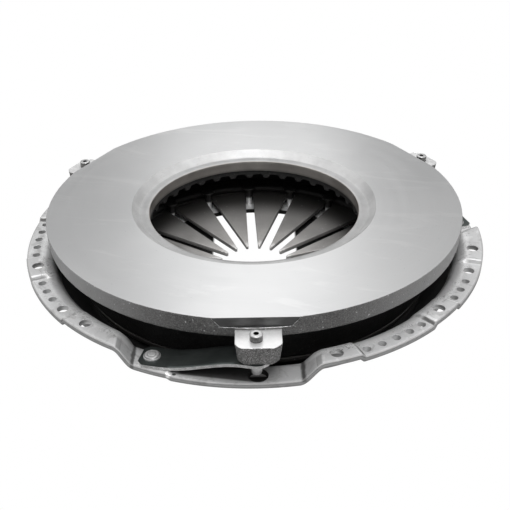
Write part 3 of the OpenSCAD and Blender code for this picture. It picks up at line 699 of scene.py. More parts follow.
def step_keys(a, down):
    """down: the low section lies counter-clockwise of the pad."""
    if down:
        pt = [(0, 0), (STEP_W, LOW)]
        pu = [(0 - STEP_M, -T_SHEET), (STEP_W - STEP_M, LOW - T_SHEET)]
        return keys_for("u", a, pt, (1.3, 0.3), pu, (0.3, 0.7))
    pt = [(-STEP_W, LOW), (0, 0)]
    pu = [(-STEP_W + STEP_M, LOW - T_SHEET), (STEP_M, -T_SHEET)]
    return keys_for("u", a, pt, (0.3, 1.3), pu, (0.7, 0.3))


def cover_columns():
    rt = [(-113, 0), (-102, SEAT), (-71, SEAT), (-68, FLOOR), (36, FLOOR), (50, 0)]
    wt = (4.4, 1.1, 0.7, 0.6, 2.0, 5.0)
    ru = [(-113 - ML, -T_SHEET), (-102 - ML, SEAT - T_SHEET), (-71 - MS, SEAT - T_SHEET), (-68 - MS, FLOOR - T_SHEET),
          (36 + MR, FLOOR - T_SHEET), (50 + MR, -T_SHEET)]
    wu = (2.2, 3.8, 0.7, 0.6, 4.2, 4.2)
    keys = [(line_r(-60), LOW, line_r(-60), LOW - T_SHEET)]
    keys += step_keys(-47.9, False)
    keys += keys_for("x", 0, rt, wt, ru, wu)
    keys += step_keys(22.4, True) + step_keys(42.9, False) + step_keys(52.2, True)
    nxt = (lambda R: line_r(60)(R), LOW, lambda R: line_r(60)(R), LOW - T_SHEET)
    cols = []
    for k, k2 in zip(keys, keys[1:] + [nxt]):
        gap = float(k2[0](215.0) - k[0](215.0))
        n = max(1, int(math.ceil(gap / 0.75)))
        for i in range(n):
            t = i / n
            cols.append(((lambda R, A=k[0], B=k2[0], t=t: (1 - t) * A(R) + t * B(R)), (1 - t) * k[1] + t * k2[1],
                         (lambda R, A=k[2], B=k2[2], t=t: (1 - t) * A(R) + t * B(R)), (1 - t) * k[3] + t * k2[3]))
    return cols


def between(P, q, n, share):
    """n points on the straight run from the last point of P to q, both left out."""
    e = P[-1]
    for i in range(1, n + 1):
        k = i / (n + 1)
        P.append((e[0] + (q[0] - e[0]) * k, e[1] + (q[1] - e[1]) * k, share))


def draw_bend(F):
    """Centre and radius of the bend from the flange into the wall: generous under the pads, tighter in the recesses."""
    q = min(max((F + 12.5) / 9.0, 0.0), 1.0)
    rad = BEND_U + 5.0 * q * q * (3 - 2 * q)
    return (wall_r(F) + BEND_U * HU, F - rad), rad


def touch_angle(c, rad, p):
    """Angle on the circle where the line to p leaves it."""
    dx, dz = p[0] - c[0], p[1] - c[1]
    d = math.hypot(dx, dz)
    return math.degrees(math.atan2(dz, dx) % (2 * math.pi) - math.acos(min(1.0, rad / d)))


def cover_profile(F, U):
    """Closed section of the sheet where the flange top is at F and its underside at U: list of (R, z, share of the underside)."""
    t = T_SHEET
    P = [(OPEN_R, -INNER - 0.9, 0.0), (OPEN_R + 0.25, -INNER - 0.25, 0.0), (OPEN_R + 0.9, -INNER, 0.0)]
    for r in (124.5, 129, 134, 139, 144, 150, 156, 162):
        P.append((r, -INNER, 0.0))
    P += [(r, z, 0.0) for r, z in arc(BACK_C, BEND_I, 270, 270 + SH_A, 7)]
    low = arc(SH_C, BEND_I, 270 + SH_A, 360 - WA, 5)
    between(P, low[0], 5, 0.0)
    P += [(r, z, 0.0) for r, z in low]
    c, rad = draw_bend(F)
    top = arc(c, rad, touch_angle(c, rad, low[-1]), 90, 12)
    between(P, top[0], 5, 0.0)
    P += [(r, z, 0.0) for r, z in top]
    between(P, (FLANGE_R - 1.3, F), 4, 0.0)
    # trimmed outer edge: rolled lip, sheared band, break line, torn band
    edge = [(-1.3, 0.0), (-0.75, -0.12), (-0.3, -0.42), (-0.05, -0.95), (0.0, -1.25), (-0.28, -1.5), (-0.42, -1.75), (-0.12, -2.1), (0.0, -2.5), (-0.02, -4.0), (-0.25, -4.55)]
    for dr, dz in edge:
        s = -dz / t
        P.append((FLANGE_R + dr, F + (U - F) * s, s))
    P.append((FLANGE_R - 0.8, U, 1.0))
    low = arc(SH_C, BEND_I + t, 360 - WA, 270 + SH_A, 5)
    c, rad = draw_bend(U + t)
    top = arc(c, rad - t, 90, touch_angle(c, rad - t, low[0]), 12)
    between(P, top[0], 4, 1.0)
    P += [(r, z, 1.0) for r, z in top]
    between(P, low[0], 5, 1.0)
    P += [(r, z, 1.0) for r, z in low]
    low = arc(BACK_C, BEND_I + t, 270 + SH_A, 270, 7)
    between(P, low[0], 5, 1.0)
    P += [(r, z, 1.0) for r, z in low]
    for r in (162, 156, 150, 144, 139, 134, 129, 124.5):
        P.append((r, -INNER - t, 1.0))
    P += [(OPEN_R + 0.8, -INNER - t, 1.0), (OPEN_R + 0.1, -INNER - t + 0.5, 1.0)]
    return np.array(P)


def polar_xy(R, psi):
    a = np.radians(psi)
    return R * np.sin(a), -R * np.cos(a)


def ring_of_cutters(items):
    """items: (x, y, radius, top height, flare). One mesh of closed cutters."""
    parts = []
    for x, y, r, top, flare in items:
        prof = [(0.0, top - 16), (r, top - 16), (r, top - flare), (r + flare, top), (r + flare + 6, top + 6), (0.0, top + 6)]
        v, f = lathe(prof, 48, (x, y))
        parts.append((v, f))
    return join_parts(parts)


def build_cover():
    cols = cover_columns()
    V = []
    for third in range(3):
        for pt, F, pu, U in cols:
            P = cover_profile(F, U)
            a = (1 - P[:, 2]) * pt(P[:, 0]) + P[:, 2] * pu(P[:, 0]) + 120 * third
            x, y = polar_xy(P[:, 0], a)
            V.append(np.c_[x, y, P[:, 1]])
    m = len(V[0])
    n = len(V)
    o = mesh_obj("cover_sheet", np.vstack(V), grid_faces(n, m, True, True), [M["cover"]], 28)
    tidy(o)
    cut = []
    for k in range(3):
        for a in (17.5, 47.5, 77.5):
            cut.append((*polar_xy(212.5, a + 120 * k), 5.5, 0.0, 0.12))
        for a in (24.64, 28.66, 32.66, 36.62, 40.56, 54.7, 58.7, 62.68):
            cut.append((*polar_xy(213.6, a + 120 * k), 3.6, LOW, 0.12))
        cut.append((*polar_xy(212.5, 67.8 + 120 * k), 5.0, LOW, 0.12))
        q = spin_z([[1, -211.5, 0], [-85.13, -190.66, 0]], 120 * k)
        cut.append((q[0][0], q[0][1], 8.0, FLOOR, 0.5))
        cut.append((q[1][0], q[1][1], 4.55, SEAT, 0.1))
    for i in range(18):
        a = math.radians(20 * i + 12.35)
        cut.append((137.2 * math.cos(a), 137.2 * math.sin(a), 3.55, -INNER, 0.1))
    v, f = ring_of_cutters(cut)
    tool = mesh_obj("tool", v, f)
    tidy(tool)
    boolean(o, tool)
    finish_shading(o, 28)
    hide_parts("cover")
    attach(o, "cover_assembly")
    return o


build_cover()

# ---------------------------------------------------------- pressure plate
TIP_R, TIP_Z, CK, SPRING_R, SPRING_T = 35.3, -41.55, 0.082, 172.0, 4.6
CA = math.atan(CK)


def cone_z(r):
    return TIP_Z + (np.asarray(r, float) - TIP_R) * CK


def build_plate():
    n = 1440
    psi = np.arange(n) * 360.0 / n
    top = [(119.0, 31.6), (119.5, 31.6), (124, 31.6), (135, 31.6), (150, 31.6), (165, 31.6), (180, 31.6), (192, 31.6), (198.5, 31.6), (199.6, 31.6)]
    rim = [(199.85, 31.35)] + [(200 - 0.8 * (31 - z) / 15.0, z) for z in (30.6, 29.6, 28.6, 27.6, 26.6, 25.6, 24.6, 23.6, 22.6, 21.6, 20.6, 19.6, 18.6, 17.6, 16.6)]
    low = arc((196.7, 16), 2.5, 0, -80, 6)
    zc = float(cone_z(169)) + (3.5 + 0.12) / math.cos(CA)
    nose = [(175.5, 9.0), (174.6, -10.0), (173.4, zc)] + [(169 + 3.5 * math.cos(math.radians(a)), zc + 3.5 * math.sin(math.radians(a))) for a in (-15, -40, -65, -90, -115, -140, -165)] + [(164.6, zc), (163.8, -10.0), (163, 9.0)]
    floor = [(r, 8.0) for r in (161, 156, 150, 143, 136, 129, 122, 116, 111, 107.5, 105.4)]
    bore = [(104.2, 8.6), (104.2, 10.5), (104.2, 12.9), (103.6, 13.35), (102.5, 13.6), (102.4, 14.2), (102.4, 17), (102.4, 20.5), (102.4, 23.8), (102.6, 24.35), (103.1, 24.6)]
    land = [(106, 24.6), (109.5, 24.6), (111.1, 24.6), (111.45, 24.72)]
    cone = [(113.2, 26.32), (115.5, 28.41), (117.6, 30.32), (118.7, 31.32)]
    prof = top + rim + low + [(186, 11.6), (178, 9.9)] + nose + floor + bore + land + cone
    P = np.array(prof)
    k_nose0 = len(top) + len(rim) + len(low) + 2
    k_nose1 = k_nose0 + len(nose)
    k_floor1 = k_nose1 + len(floor)
    m = len(P)
    R = np.tile(P[:, 0], (n, 1))
    Z = np.tile(P[:, 1], (n, 1))
    az = psi[:, None]                                  # azimuth counter-clockwise from +X
    # ribs: 36, between the bore and the noses
    d = ((az[:, 0] - 2.35) + 5.0) % 10.0 - 5.0
    for j in range(k_nose1, k_floor1 + 2):
        r = P[j, 0]
        across = np.abs(r * np.radians(d))
        rib = 1 - np.clip((across - 1.7) / 3.6, 0, 1)
        rib = rib * rib * (3 - 2 * rib)
        zr = 4.0 + (r - 104.2) * (-2.0 - 4.0) / (165 - 104.2)
        Z[:, j] = P[j, 1] + (zr - 8.0) * rib
    a = np.radians(psi)[:, None]
    V = np.stack([R * np.cos(a), R * np.sin(a), Z], -1)
    # cast skin: the rim, underside and back are a little uneven
    for j in range(len(top) - 1, k_floor1 + 3):
        w = wobble(V[:, j], 5.0, 1, 3) * 0.16 + wobble(V[:, j], 1.6, 2, 2) * 0.07
        if j < len(top) + 1:
            w = w * (0.9 if j == len(top) else 1.0)
        if j < k_nose0 - 2:
            s = 1 + w / R[:, j]
            V[:, j, 0] *= s
            V[:, j, 1] *= s
        else:
            V[:, j, 2] += w
    V = V.reshape(-1, 3)
    o = mesh_obj("plate_casting", V, grid_faces(n, m, True, True), [M["cast"]], 30)
    tidy(o)

    # lugs
    bm = bmesh.new()
    outline = [(-16.9, -184), (-16.9, -217.6), (-12.2, -223), (14.7, -223), (20.4, -217.6), (20.4, -184)]
    z0, z1 = 4.2, 21.2
    rows = 15
    loops = []
    for i in range(rows):
        t = i / (rows - 1)
        z = z0 + (z1 - z0) * t
        q = 1 - t
        pts = []
        for x, y in outline:
            xx = x + (2.3 * q if x < 0 else -2.2 * q)
            yy = y + (0.8 * q if y < -200 else 0)
            pts.append((xx, yy))
        # densify and round the outline
        dense = []
        for (xa, ya), (xb, yb) in zip(pts, pts[1:]):
            k = max(2, int(math.hypot(xb - xa, yb - ya) / 0.9))
            dense += [(xa + (xb - xa) * u / k, ya + (yb - ya) * u / k) for u in range(k)]
        dense.append(pts[-1])
        loops.append(dense)
    kmin = min(len(l) for l in loops)
    grid = []
    for i, l in enumerate(loops):
        L = np.array(l)
        s = np.r_[0, np.cumsum(np.hypot(*np.diff(L, axis=0).T))]
        u = np.linspace(0, s[-1], kmin)
        grid.append(np.c_[np.interp(u, s, L[:, 0]), np.interp(u, s, L[:, 1])])
    G = np.array(grid)
    for _ in range(2):
        G[:, 1:-1] = 0.25 * G[:, :-2] + 0.5 * G[:, 1:-1] + 0.25 * G[:, 2:]
    lug_parts = []
    for k in range(3):
        V3 = []
        for i in range(rows):
            z = z0 + (z1 - z0) * i / (rows - 1)
            inset = 0.0
            if i == 0:
                inset = 0.9
            if i == rows - 1:
                inset = 0.12
            c = G[i].mean(axis=0)
            L = G[i] + (c - G[i]) * (inset / 18.0)
            pts = np.c_[L, np.full(kmin, z if i < rows - 1 else z1)]
            if 0 < i < rows - 1:
                turned_pts = spin_z(pts, 120 * k)
                w = wobble(turned_pts, 2.2, 5, 3) * 0.30 + wobble(turned_pts, 0.8, 6, 2) * 0.12
                dirs = L - c
                dirs /= np.linalg.norm(dirs, axis=1)[:, None]
                edge = 1.0 if i < rows - 2 else 0.5
                pts[:, :2] += dirs * (w * edge)[:, None]
            V3.append(pts)
        V3 = np.array(V3)
        F = grid_faces(rows, kmin, False, False).tolist()
        F.append(list(range(kmin))[::-1])
        F.append([(rows - 1) * kmin + j for j in range(kmin)])
        F.append([i * kmin for i in range(rows)] + [i * kmin + kmin - 1 for i in range(rows - 1, -1, -1)])
        lug_parts.append((spin_z(V3.reshape(-1, 3), 120 * k), F))
    v, f = join_parts(lug_parts)
    tool = mesh_obj("lugs", v, f)
    tidy(tool)
    boolean(o, tool, "UNION")

    # milled pockets in the rim above the lugs, and the rivet bores
    parts = []
    for k in range(3):
        q = [(-196.55, 34.6), (-197.6, 23.3), (-215, 23.3), (-215, 34.6)]
        V8 = [(x, y, z) for x in (-60, 60) for y, z in q]
        F8 = [(0, 1, 2, 3), (7, 6, 5, 4), (0, 4, 5, 1), (1, 5, 6, 2), (2, 6, 7, 3), (3, 7, 4, 0)]
        parts.append((spin_z(V8, 120 * k), F8))
        v1, f1 = lathe([(0, -2), (5.05, -2), (5.05, 23.2), (0, 23.2)], 48, (0, -211.5))
        parts.append((spin_z(v1, 120 * k), f1))
    v, f = join_parts(parts)
    tool = mesh_obj("tool", v, f)
    tidy(tool)
    boolean(o, tool)

    # finishes by place
    me = o.data
    me.materials.clear()
    for key in ("cast", "face", "cone", "land", "bore", "milled", "lugtop", "lugcast", "under"):
        me.materials.append(M[key])
    nf = len(me.polygons)
    C = np.empty(nf * 3)
    N = np.empty(nf * 3)
    me.polygons.foreach_get("center", C)
    me.polygons.foreach_get("normal", N)
    C, N = C.reshape(-1, 3) * 1000, N.reshape(-1, 3)
    Rr = np.hypot(C[:, 0], C[:, 1])
    th = np.degrees(np.arctan2(C[:, 1], C[:, 0])) + 90 - 12.5
    th = (th + 60) % 120 - 60
    lx, ly = Rr * np.sin(np.radians(th)), -Rr * np.cos(np.radians(th))
    idx = np.zeros(nf, int)
    idx[(C[:, 2] > 31.45) & (N[:, 2] > 0.9)] = 1
    idx[(Rr < 119.3) & (C[:, 2] > 24.9) & (N[:, 2] < 0.95) & (N[:, 2] > 0.3)] = 2
    idx[(Rr < 112.2) & (Rr > 102.9) & (C[:, 2] > 24.2) & (N[:, 2] > 0.9)] = 3
    # painted shade: the plate's underside gets the near-black copy of the cast iron
    idx[(C[:, 2] < 13.45) & (Rr < 197.0)] = 8
    idx[(Rr < 104.6) & (C[:, 2] > 13.3) & (C[:, 2] < 24.55)] = 4
    tl = np.radians(np.degrees(np.arctan2(N[:, 1], N[:, 0])) + 90 - 12.5 - (np.degrees(np.arctan2(C[:, 1], C[:, 0])) + 90 - 12.5 - th))
    flat = np.hypot(N[:, 0], N[:, 1]) * np.cos(tl)       # share of the normal along the lug's outward line
    off = ly + 196.55 + (34.6 - C[:, 2]) * (1.05 / 11.3)
    pocket = (np.abs(lx) < 34) & (np.abs(off) < 0.12) & (flat > 0.985) & (C[:, 2] > 23.2)
    idx[pocket] = 5
    idx[(C[:, 2] > 21.0) & (C[:, 2] < 21.6) & (N[:, 2] > 0.9) & (Rr > 190)] = 6
    idx[(C[:, 2] > 23.0) & (C[:, 2] < 23.6) & (N[:, 2] > 0.9) & (Rr > 190)] = 5
    lug = (np.abs(lx - 1.7) < 20) & (ly < -199.3) & (C[:, 2] < 21.0)
    idx[lug & ((idx == 0) | (idx == 8))] = 7
    me.polygons.foreach_set("material_index", idx)
    finish_shading(o, 30)
    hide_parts("pressure_plate")
    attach(o, "pressure_plate")
    return o


build_plate()


def build_burrs():
    """Thin bright burrs left by the cutter along the pocket's edges."""
    parts = []
    rng = np.random.default_rng(4)
    for k in range(3):
        lines = []
        for sx in (-1, 1):
            zs = np.linspace(31.3, 23.4, 14)
            ys = -196.55 - (34.6 - zs) * (1.05 / 11.3)
            rim = 200 - 0.8 * np.clip((31 - zs) / 15.0, 0, 1)
            xs = sx * np.sqrt(np.maximum(rim ** 2 - ys ** 2, 0))
            lines.append(np.c_[xs, ys - 0.02, zs])
        xs = np.linspace(-30.4, 30.4, 66)
        lines.append(np.c_[xs, -np.sqrt(199.55 ** 2 - xs ** 2) + 0.0, np.full_like(xs, 23.3)])
        edge = [(-16.3, -201.4), (-16.65, -206), (-16.65, -213), (-16.3, -217.2), (-14.2, -219.9), (-12.2, -222.3), (-9, -222.75), (0, -222.75), (9, -222.75), (14.4, -222.6),
                (17.2, -220.0), (19.8, -217.4), (20.15, -213), (20.15, -206), (19.9, -201.2)]
        E = np.array(edge)
        sl = np.r_[0, np.cumsum(np.hypot(*np.diff(E, axis=0).T))]
        uu = np.linspace(0, sl[-1], 110)
        lines.append(np.c_[np.interp(uu, sl, E[:, 0]), np.interp(uu, sl, E[:, 1]), np.full(110, 21.12)])
        for L in lines:
            rad = 0.16 + 0.22 * np.abs(np.array([mnoise.noise(Vector((i * 0.37, k * 3.1, len(L) * 0.11))) for i in range(len(L))]))
            gone = np.array([mnoise.noise(Vector((i * 0.19, k * 5.7 + 2, len(L) * 0.7))) for i in range(len(L))]) > 0.28
            rad[gone] *= 0.35
            rad[0] = rad[-1] = 0.03
            V = []
            for i, p in enumerate(L):
                t = L[min(i + 1, len(L) - 1)] - L[max(i - 1, 0)]
                t = t / np.linalg.norm(t)
                a = np.cross(t, [0.3, 0.5, 0.81])
                a /= np.linalg.norm(a)
                b = np.cross(t, a)
                for j in range(6):
                    w = 2 * math.pi * j / 6
                    V.append(p + rad[i] * (math.cos(w) * a + math.sin(w) * b))
            F = grid_faces(len(L), 6, False, True).tolist()
            F.append(list(range(6)))
            F.append([(len(L) - 1) * 6 + j for j in range(6)][::-1])
            parts.append((spin_z(np.array(V), 120 * k), F))
    v, f = join_parts(parts)
    o = mesh_obj("pocket_burrs", v, f, [M["burr"]], 60)
    tidy(o)
    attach(o, "pressure_plate")


build_burrs()


# -------------------------------------------------------- diaphragm spring
ROOT_R = 141.55


def finger_half(R):
    """Half angle of a finger, in radians, at radius R."""
    R = np.asarray(R, float)
    d = 4.3 + (5.16 - 4.3) * (137.2 - np.minimum(R, 137.2)) / (137.2 - 27.3)
    over = np.clip(R - 137.2, 0, 4.3)
    d = np.where(R > 137.2, np.sqrt(np.maximum(4.3 ** 2 - over ** 2, 0)), d)
    return math.radians(10) - np.arcsin(np.clip(d / R, 0, 1))


def section_ring(R, half, t_edge, zt, zb, n_top=9):
    """Closed section across a finger at radius R: top, rounded side, bottom, rounded side."""
    hw = R * half
    b = min(t_edge, hw * 0.6)
    pts = []
    for q in np.linspace(-1, 1, n_top):
        pts.append((q * (hw - b), 0.0))
    pts += [(hw - b * 0.42, -b * 0.12), (hw - b * 0.12, -b * 0.42), (hw, -b)]
    pts += [(hw, -(zt - zb) + b), (hw - b * 0.12, -(zt - zb) + b * 0.42), (hw - b * 0.42, -(zt - zb) + b * 0.12)]
    for q in np.linspace(1, -1, n_top):
        pts.append((q * (hw - b), -(zt - zb)))
    pts += [(-hw + b * 0.42, -(zt - zb) + b * 0.12), (-hw + b * 0.12, -(zt - zb) + b * 0.42), (-hw, -(zt - zb) + b)]
    pts += [(-hw, -b), (-hw + b * 0.12, -b * 0.42), (-hw + b * 0.42, -b * 0.12)]
    return [(R, x / R, zt + z) for x, z in pts]


def build_spring():
    tip_r = 2.6
    Rs = np.r_[TIP_R, TIP_R + np.array([0.12, 0.4, 0.8, 1.3, 1.9, 2.6, 3.4]), np.linspace(40, 134, 40), 135.2, 136.2, 137.2, 138.2, 139.2, 140.0, 140.6, 141.0, 141.25, 141.42, ROOT_R]
    half = finger_half(Rs)
    hw = Rs * half
    # round the end of the finger
    x = Rs - TIP_R
    hw_tip = np.where(x < tip_r, np.sqrt(np.maximum(tip_r ** 2 - (tip_r - x) ** 2, 0)) * hw[7] / tip_r, 1e9)
    hw = np.minimum(hw, np.maximum(hw_tip, 0.35))
    half = hw / Rs
    drop = np.where(x < 1.2, 0.9 * (1 - np.clip(x / 1.2, 0, 1)) ** 2, 0.0)
    a0 = 12.35 + 10.0
    for i in range(18):
        c = math.radians(a0 + 20 * i)
        V = []
        for R, h, dz in zip(Rs, half, drop):
            zt = float(cone_z(R)) - dz
            zb = float(cone_z(R)) - SPRING_T + dz
            ring = section_ring(R, h, 0.75, zt, zb)
            V += [(r * math.cos(c + t), r * math.sin(c + t), z) for r, t, z in ring]
        k = len(section_ring(100, 0.1, 0.7, 1, 0))
        F = grid_faces(len(Rs), k, False, True).tolist()
        F.append(list(range(k))[::-1])
        F.append([(len(Rs) - 1) * k + j for j in range(k)])
        o = mesh_obj("spring_finger_%02d" % (i + 1), V, F, [M["spring"]], 40)
        tidy(o)
        finish_shading(o, 40)
        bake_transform(o)
        if i == 0:
            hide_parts("diaphragm_spring")
        # belt outside the slots
        Rb = np.r_[ROOT_R, np.linspace(143, 170.4, 16), 171.2, 171.7, 171.95]
        ts = np.radians(np.linspace(-10, 10, 41))
        V = []
        prof = [(r, float(cone_z(r))) for r in Rb[:-3]] + [(171.2, float(cone_z(171.2)) - 0.05), (171.75, float(cone_z(171.7)) - 0.4), (172.0, float(cone_z(172)) - 1.0),
                (172.0, float(cone_z(172)) - SPRING_T + 1.0), (171.75, float(cone_z(171.7)) - SPRING_T + 0.4), (171.2, float(cone_z(171.2)) - SPRING_T + 0.05)]
        prof += [(r, float(cone_z(r)) - SPRING_T) for r in Rb[:-3][::-1]]
        for t in ts:
            V += [(r * math.cos(c + t), r * math.sin(c + t), z) for r, z in prof]
        k = len(prof)
        F = grid_faces(len(ts), k, False, True).tolist()
        F.append(list(range(k))[::-1])
        F.append([(len(ts) - 1) * k + j for j in range(k)])
        o = mesh_obj("spring_belt_%02d" % (i + 1), V, F, [M["spring"]], 40)
        tidy(o)
        finish_shading(o, 40)
        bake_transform(o)


build_spring()

# ----------------------------------------------------------------- fulcrum
RING_R, WIRE = 144.4, 7.0
RING_UP = float(cone_z(RING_R)) + (WIRE / 2 + 0.1) / math.cos(CA)
RING_DN = max(float(cone_z(RING_R)) - SPRING_T - (WIRE / 2 + 0.1) / math.cos(CA), -INNER + WIRE / 2 + 0.02)


def build_wires():
    for name, z in (("fulcrum_ring_flywheel_side", RING_UP), ("fulcrum_ring_cover_side", RING_DN)):
        prof = [(RING_R + 3.5 * math.cos(a), z + 3.5 * math.sin(a)) for a in np.linspace(0, 2 * math.pi, 28, endpoint=False)]
        v, f = lathe(prof, 300, closed=True)
        o = mesh_obj("wire_" + name.split("_", 2)[2], v, f, [M["wire"]], 60)
        tidy(o)
        finish_shading(o, 60)
        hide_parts(name)
        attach(o, "cover_assembly")


build_wires()


def build_fulcrum_rivets():
    hz = RING_UP + WIRE / 2 + 0.15
    b = -INNER - T_SHEET
    prof = [(0, b - 3), (3.2, b - 3), (4.4, b - 2.85), (5.5, b - 2.35), (6.1, b - 1.5), (6.4, b - 0.6), (6.4, b - 0.03), (3.5, b - 0.03),
            (3.5, hz - 1.35), (5.4, hz - 0.4), (7.2, hz + 0.42), (7.4, hz + 0.7), (7.4, hz + 1.2), (7.15, hz + 1.6), (6.2, hz + 2.3), (5.6, hz + 2.42), (3.0, hz + 2.5), (0, hz + 2.5)]
    parts = []
    for i in range(18):
        a = math.radians(20 * i + 12.35)
        v, f = lathe(prof, 40, (137.2 * math.cos(a), 137.2 * math.sin(a)))
        parts.append((v, f))
    v, f = join_parts(parts)
    o = mesh_obj("fulcrum_rivet_set", v, f, [M["frivet"]], 35)
    tidy(o)
    finish_shading(o, 35)
    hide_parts("fulcrum_rivets")
    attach(o, "cover_assembly")


build_fulcrum_rivets()

# ------------------------------------------------------------------ straps
LUG_XY = np.array([0.0, -211.5])
SD = LUG_XY - SEAT_XY
SL = float(np.linalg.norm(SD))
SA = math.degrees(math.atan2(SD[1], SD[0]))
LEAF_T, LEAF_P, LEAF_W, LEAF_N = 0.7, 0.71, 24.4, 4
GAP = 0.03
S_LOW = SEAT + GAP
S_HIGH = 4.2 - GAP - LEAF_N * LEAF_P
S_A, S_B = 5.0, SL - 7.3


def strap_z(s):
    q = np.clip((np.asarray(s, float) - S_A) / (S_B - S_A), 0, 1) ** 1.1
    return S_LOW + (S_HIGH - S_LOW) * (1 - np.cos(np.pi * q)) / 2


def build_straps():
    hw0 = LEAF_W / 2
    S = np.r_[np.linspace(-9.5, -5.5, 6), np.linspace(-3.5, SL - 1, 60), SL + hw0 * np.sin(np.radians(np.r_[np.linspace(0, 75, 14), 80, 84, 87, 88.8]))]
    hw = np.where(S < -5.5, hw0 - 4 + (S + 9.5), hw0)
    hw = np.where(S > SL, np.sqrt(np.maximum(hw0 ** 2 - (S - SL) ** 2, 0)), hw)
    for k in range(3):
        for leaf in range(LEAF_N):
            V = []
            zs = strap_z(S) + leaf * LEAF_P
            for s, h, z in zip(S, hw, zs):
                h = max(h, 0.2)
                row = [(q * (h - 0.1), LEAF_T) for q in np.linspace(-1, 1, 9)]
                row += [(h, LEAF_T - 0.12), (h, 0.12)]
                row += [(q * (h - 0.1), 0.0) for q in np.linspace(1, -1, 9)]
                row += [(-h, 0.12), (-h, LEAF_T - 0.12)]
                V += [(s, w, z + t) for w, t in row]
            kk = 22
            F = grid_faces(len(S), kk, False, True).tolist()
            F.append(list(range(kk))[::-1])
            F.append([(len(S) - 1) * kk + j for j in range(kk)])
            W = spin_z(np.array(V), SA) + np.array([SEAT_XY[0], SEAT_XY[1], 0])
            o = mesh_obj("strap_%s%d" % ("abc"[k], leaf + 1), spin_z(W, 120 * k), F, [M["strap"], M["strapedge"]], 50)
            tidy(o)
            parts = []
            for xy, r in ((SEAT_XY, 4.53), (LUG_XY, 5.03)):
                v, f = lathe([(0, -30), (r, -30), (r, 20), (0, 20)], 40, xy)
                parts.append((spin_z(v, 120 * k), f))
            v, f = join_parts(parts)
            tool = mesh_obj("tool", v, f)
            tidy(tool)
            boolean(o, tool)
            me = o.data
            me.materials.clear()
            me.materials.append(M["strap"])
            me.materials.append(M["strapedge"])
            me.polygons.foreach_set("material_index", [1 if abs(p.normal.z) < 0.55 else 0 for p in me.polygons])
            finish_shading(o, 50)
            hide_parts("strap_%s_leaf_%d" % ("abc"[k], leaf + 1))
            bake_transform(o)


build_straps()


def rivet_set(name, node, body, prof, xy, mat, n=72, angle=35):
    parts = []
    for k in range(3):
        v, f = lathe(prof, n, xy)
        parts.append((spin_z(v, 120 * k), f))
    v, f = join_parts(parts)
    o = mesh_obj(name, v, f, [mat], angle)
    tidy(o)
    finish_shading(o, angle)
    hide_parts(node)
    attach(o, body)
    return o


def build_rivets():
    zt = S_LOW + LEAF_N * LEAF_P + GAP
    b = SEAT - T_SHEET
    r = 7.2
    head = [(r, zt), (r + 0.0, zt + 0.5), (r * 0.985, zt + 0.95), (r * 0.95, zt + 1.35), (r * 0.90, zt + 1.75), (r * 0.86, zt + 2.0),
            (r * 0.865, zt + 1.95), (r * 0.835, zt + 1.9), (r * 0.80, zt + 2.2), (r * 0.74, zt + 2.52), (r * 0.66, zt + 2.66), (r * 0.56, zt + 2.66),
            (r * 0.51, zt + 2.55), (r * 0.48, zt + 2.52), (r * 0.44, zt + 2.68), (r * 0.34, zt + 2.86), (r * 0.2, zt + 2.92), (0, zt + 2.94)]
    prof = [(0, b - 3.2), (3.4, b - 3.2), (4.7, b - 3.05), (5.9, b - 2.5), (6.6, b - 1.6), (7.0, b - 0.5), (7.0, b - 0.03), (4.5, b - 0.03), (4.5, zt)] + head
    rivet_set("seat_rivet_set", "strap_seat_rivets", "cover_assembly", prof, tuple(SEAT_XY), M["seat"])
    zw = S_HIGH - 2 * GAP - 1.6
    top = 21.2
    prof = [(0, -12.2), (2.0, -12.2), (2.9, -12.0), (3.6, -11.5), (4.05, -10.8), (4.9, -6.0), (5.7, zw - 1.6), (6.0, zw - 1.0), (6.4, zw - 0.4), (6.4, zw), (5.0, zw),
            (5.0, top + 0.03), (5.2, top + 0.03), (5.2, top + 4.9), (5.05, top + 5.45), (4.75, top + 5.8), (4.35, top + 5.97), (2.5, top + 5.97),
            (2.1, top + 5.85), (1.9, top + 5.5), (1.9, top - 1.8), (1.2, top - 2.6), (0, top - 2.9)]
    rivet_set("lug_rivet_set", "strap_lug_rivets", "pressure_plate", prof, (0, -211.5), M["tube"])
    z0 = S_HIGH - GAP - 1.6
    prof = [(5.05, z0 + 0.1), (5.2, z0), (6.6, z0), (7.0, z0 + 0.35), (7.0, z0 + 1.25), (6.6, z0 + 1.6), (5.2, z0 + 1.6), (5.05, z0 + 1.5)]
    parts = []
    for k in range(3):
        v, f = lathe(prof, 72, (0, -211.5), closed=True)
        parts.append((spin_z(v, 120 * k), f))
    v, f = join_parts(parts)
    o = mesh_obj("lug_washer_set", v, f, [M["washer"]], 35)
    tidy(o)
    finish_shading(o, 35)
    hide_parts("strap_lug_washers")
    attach(o, "pressure_plate")


build_rivets()


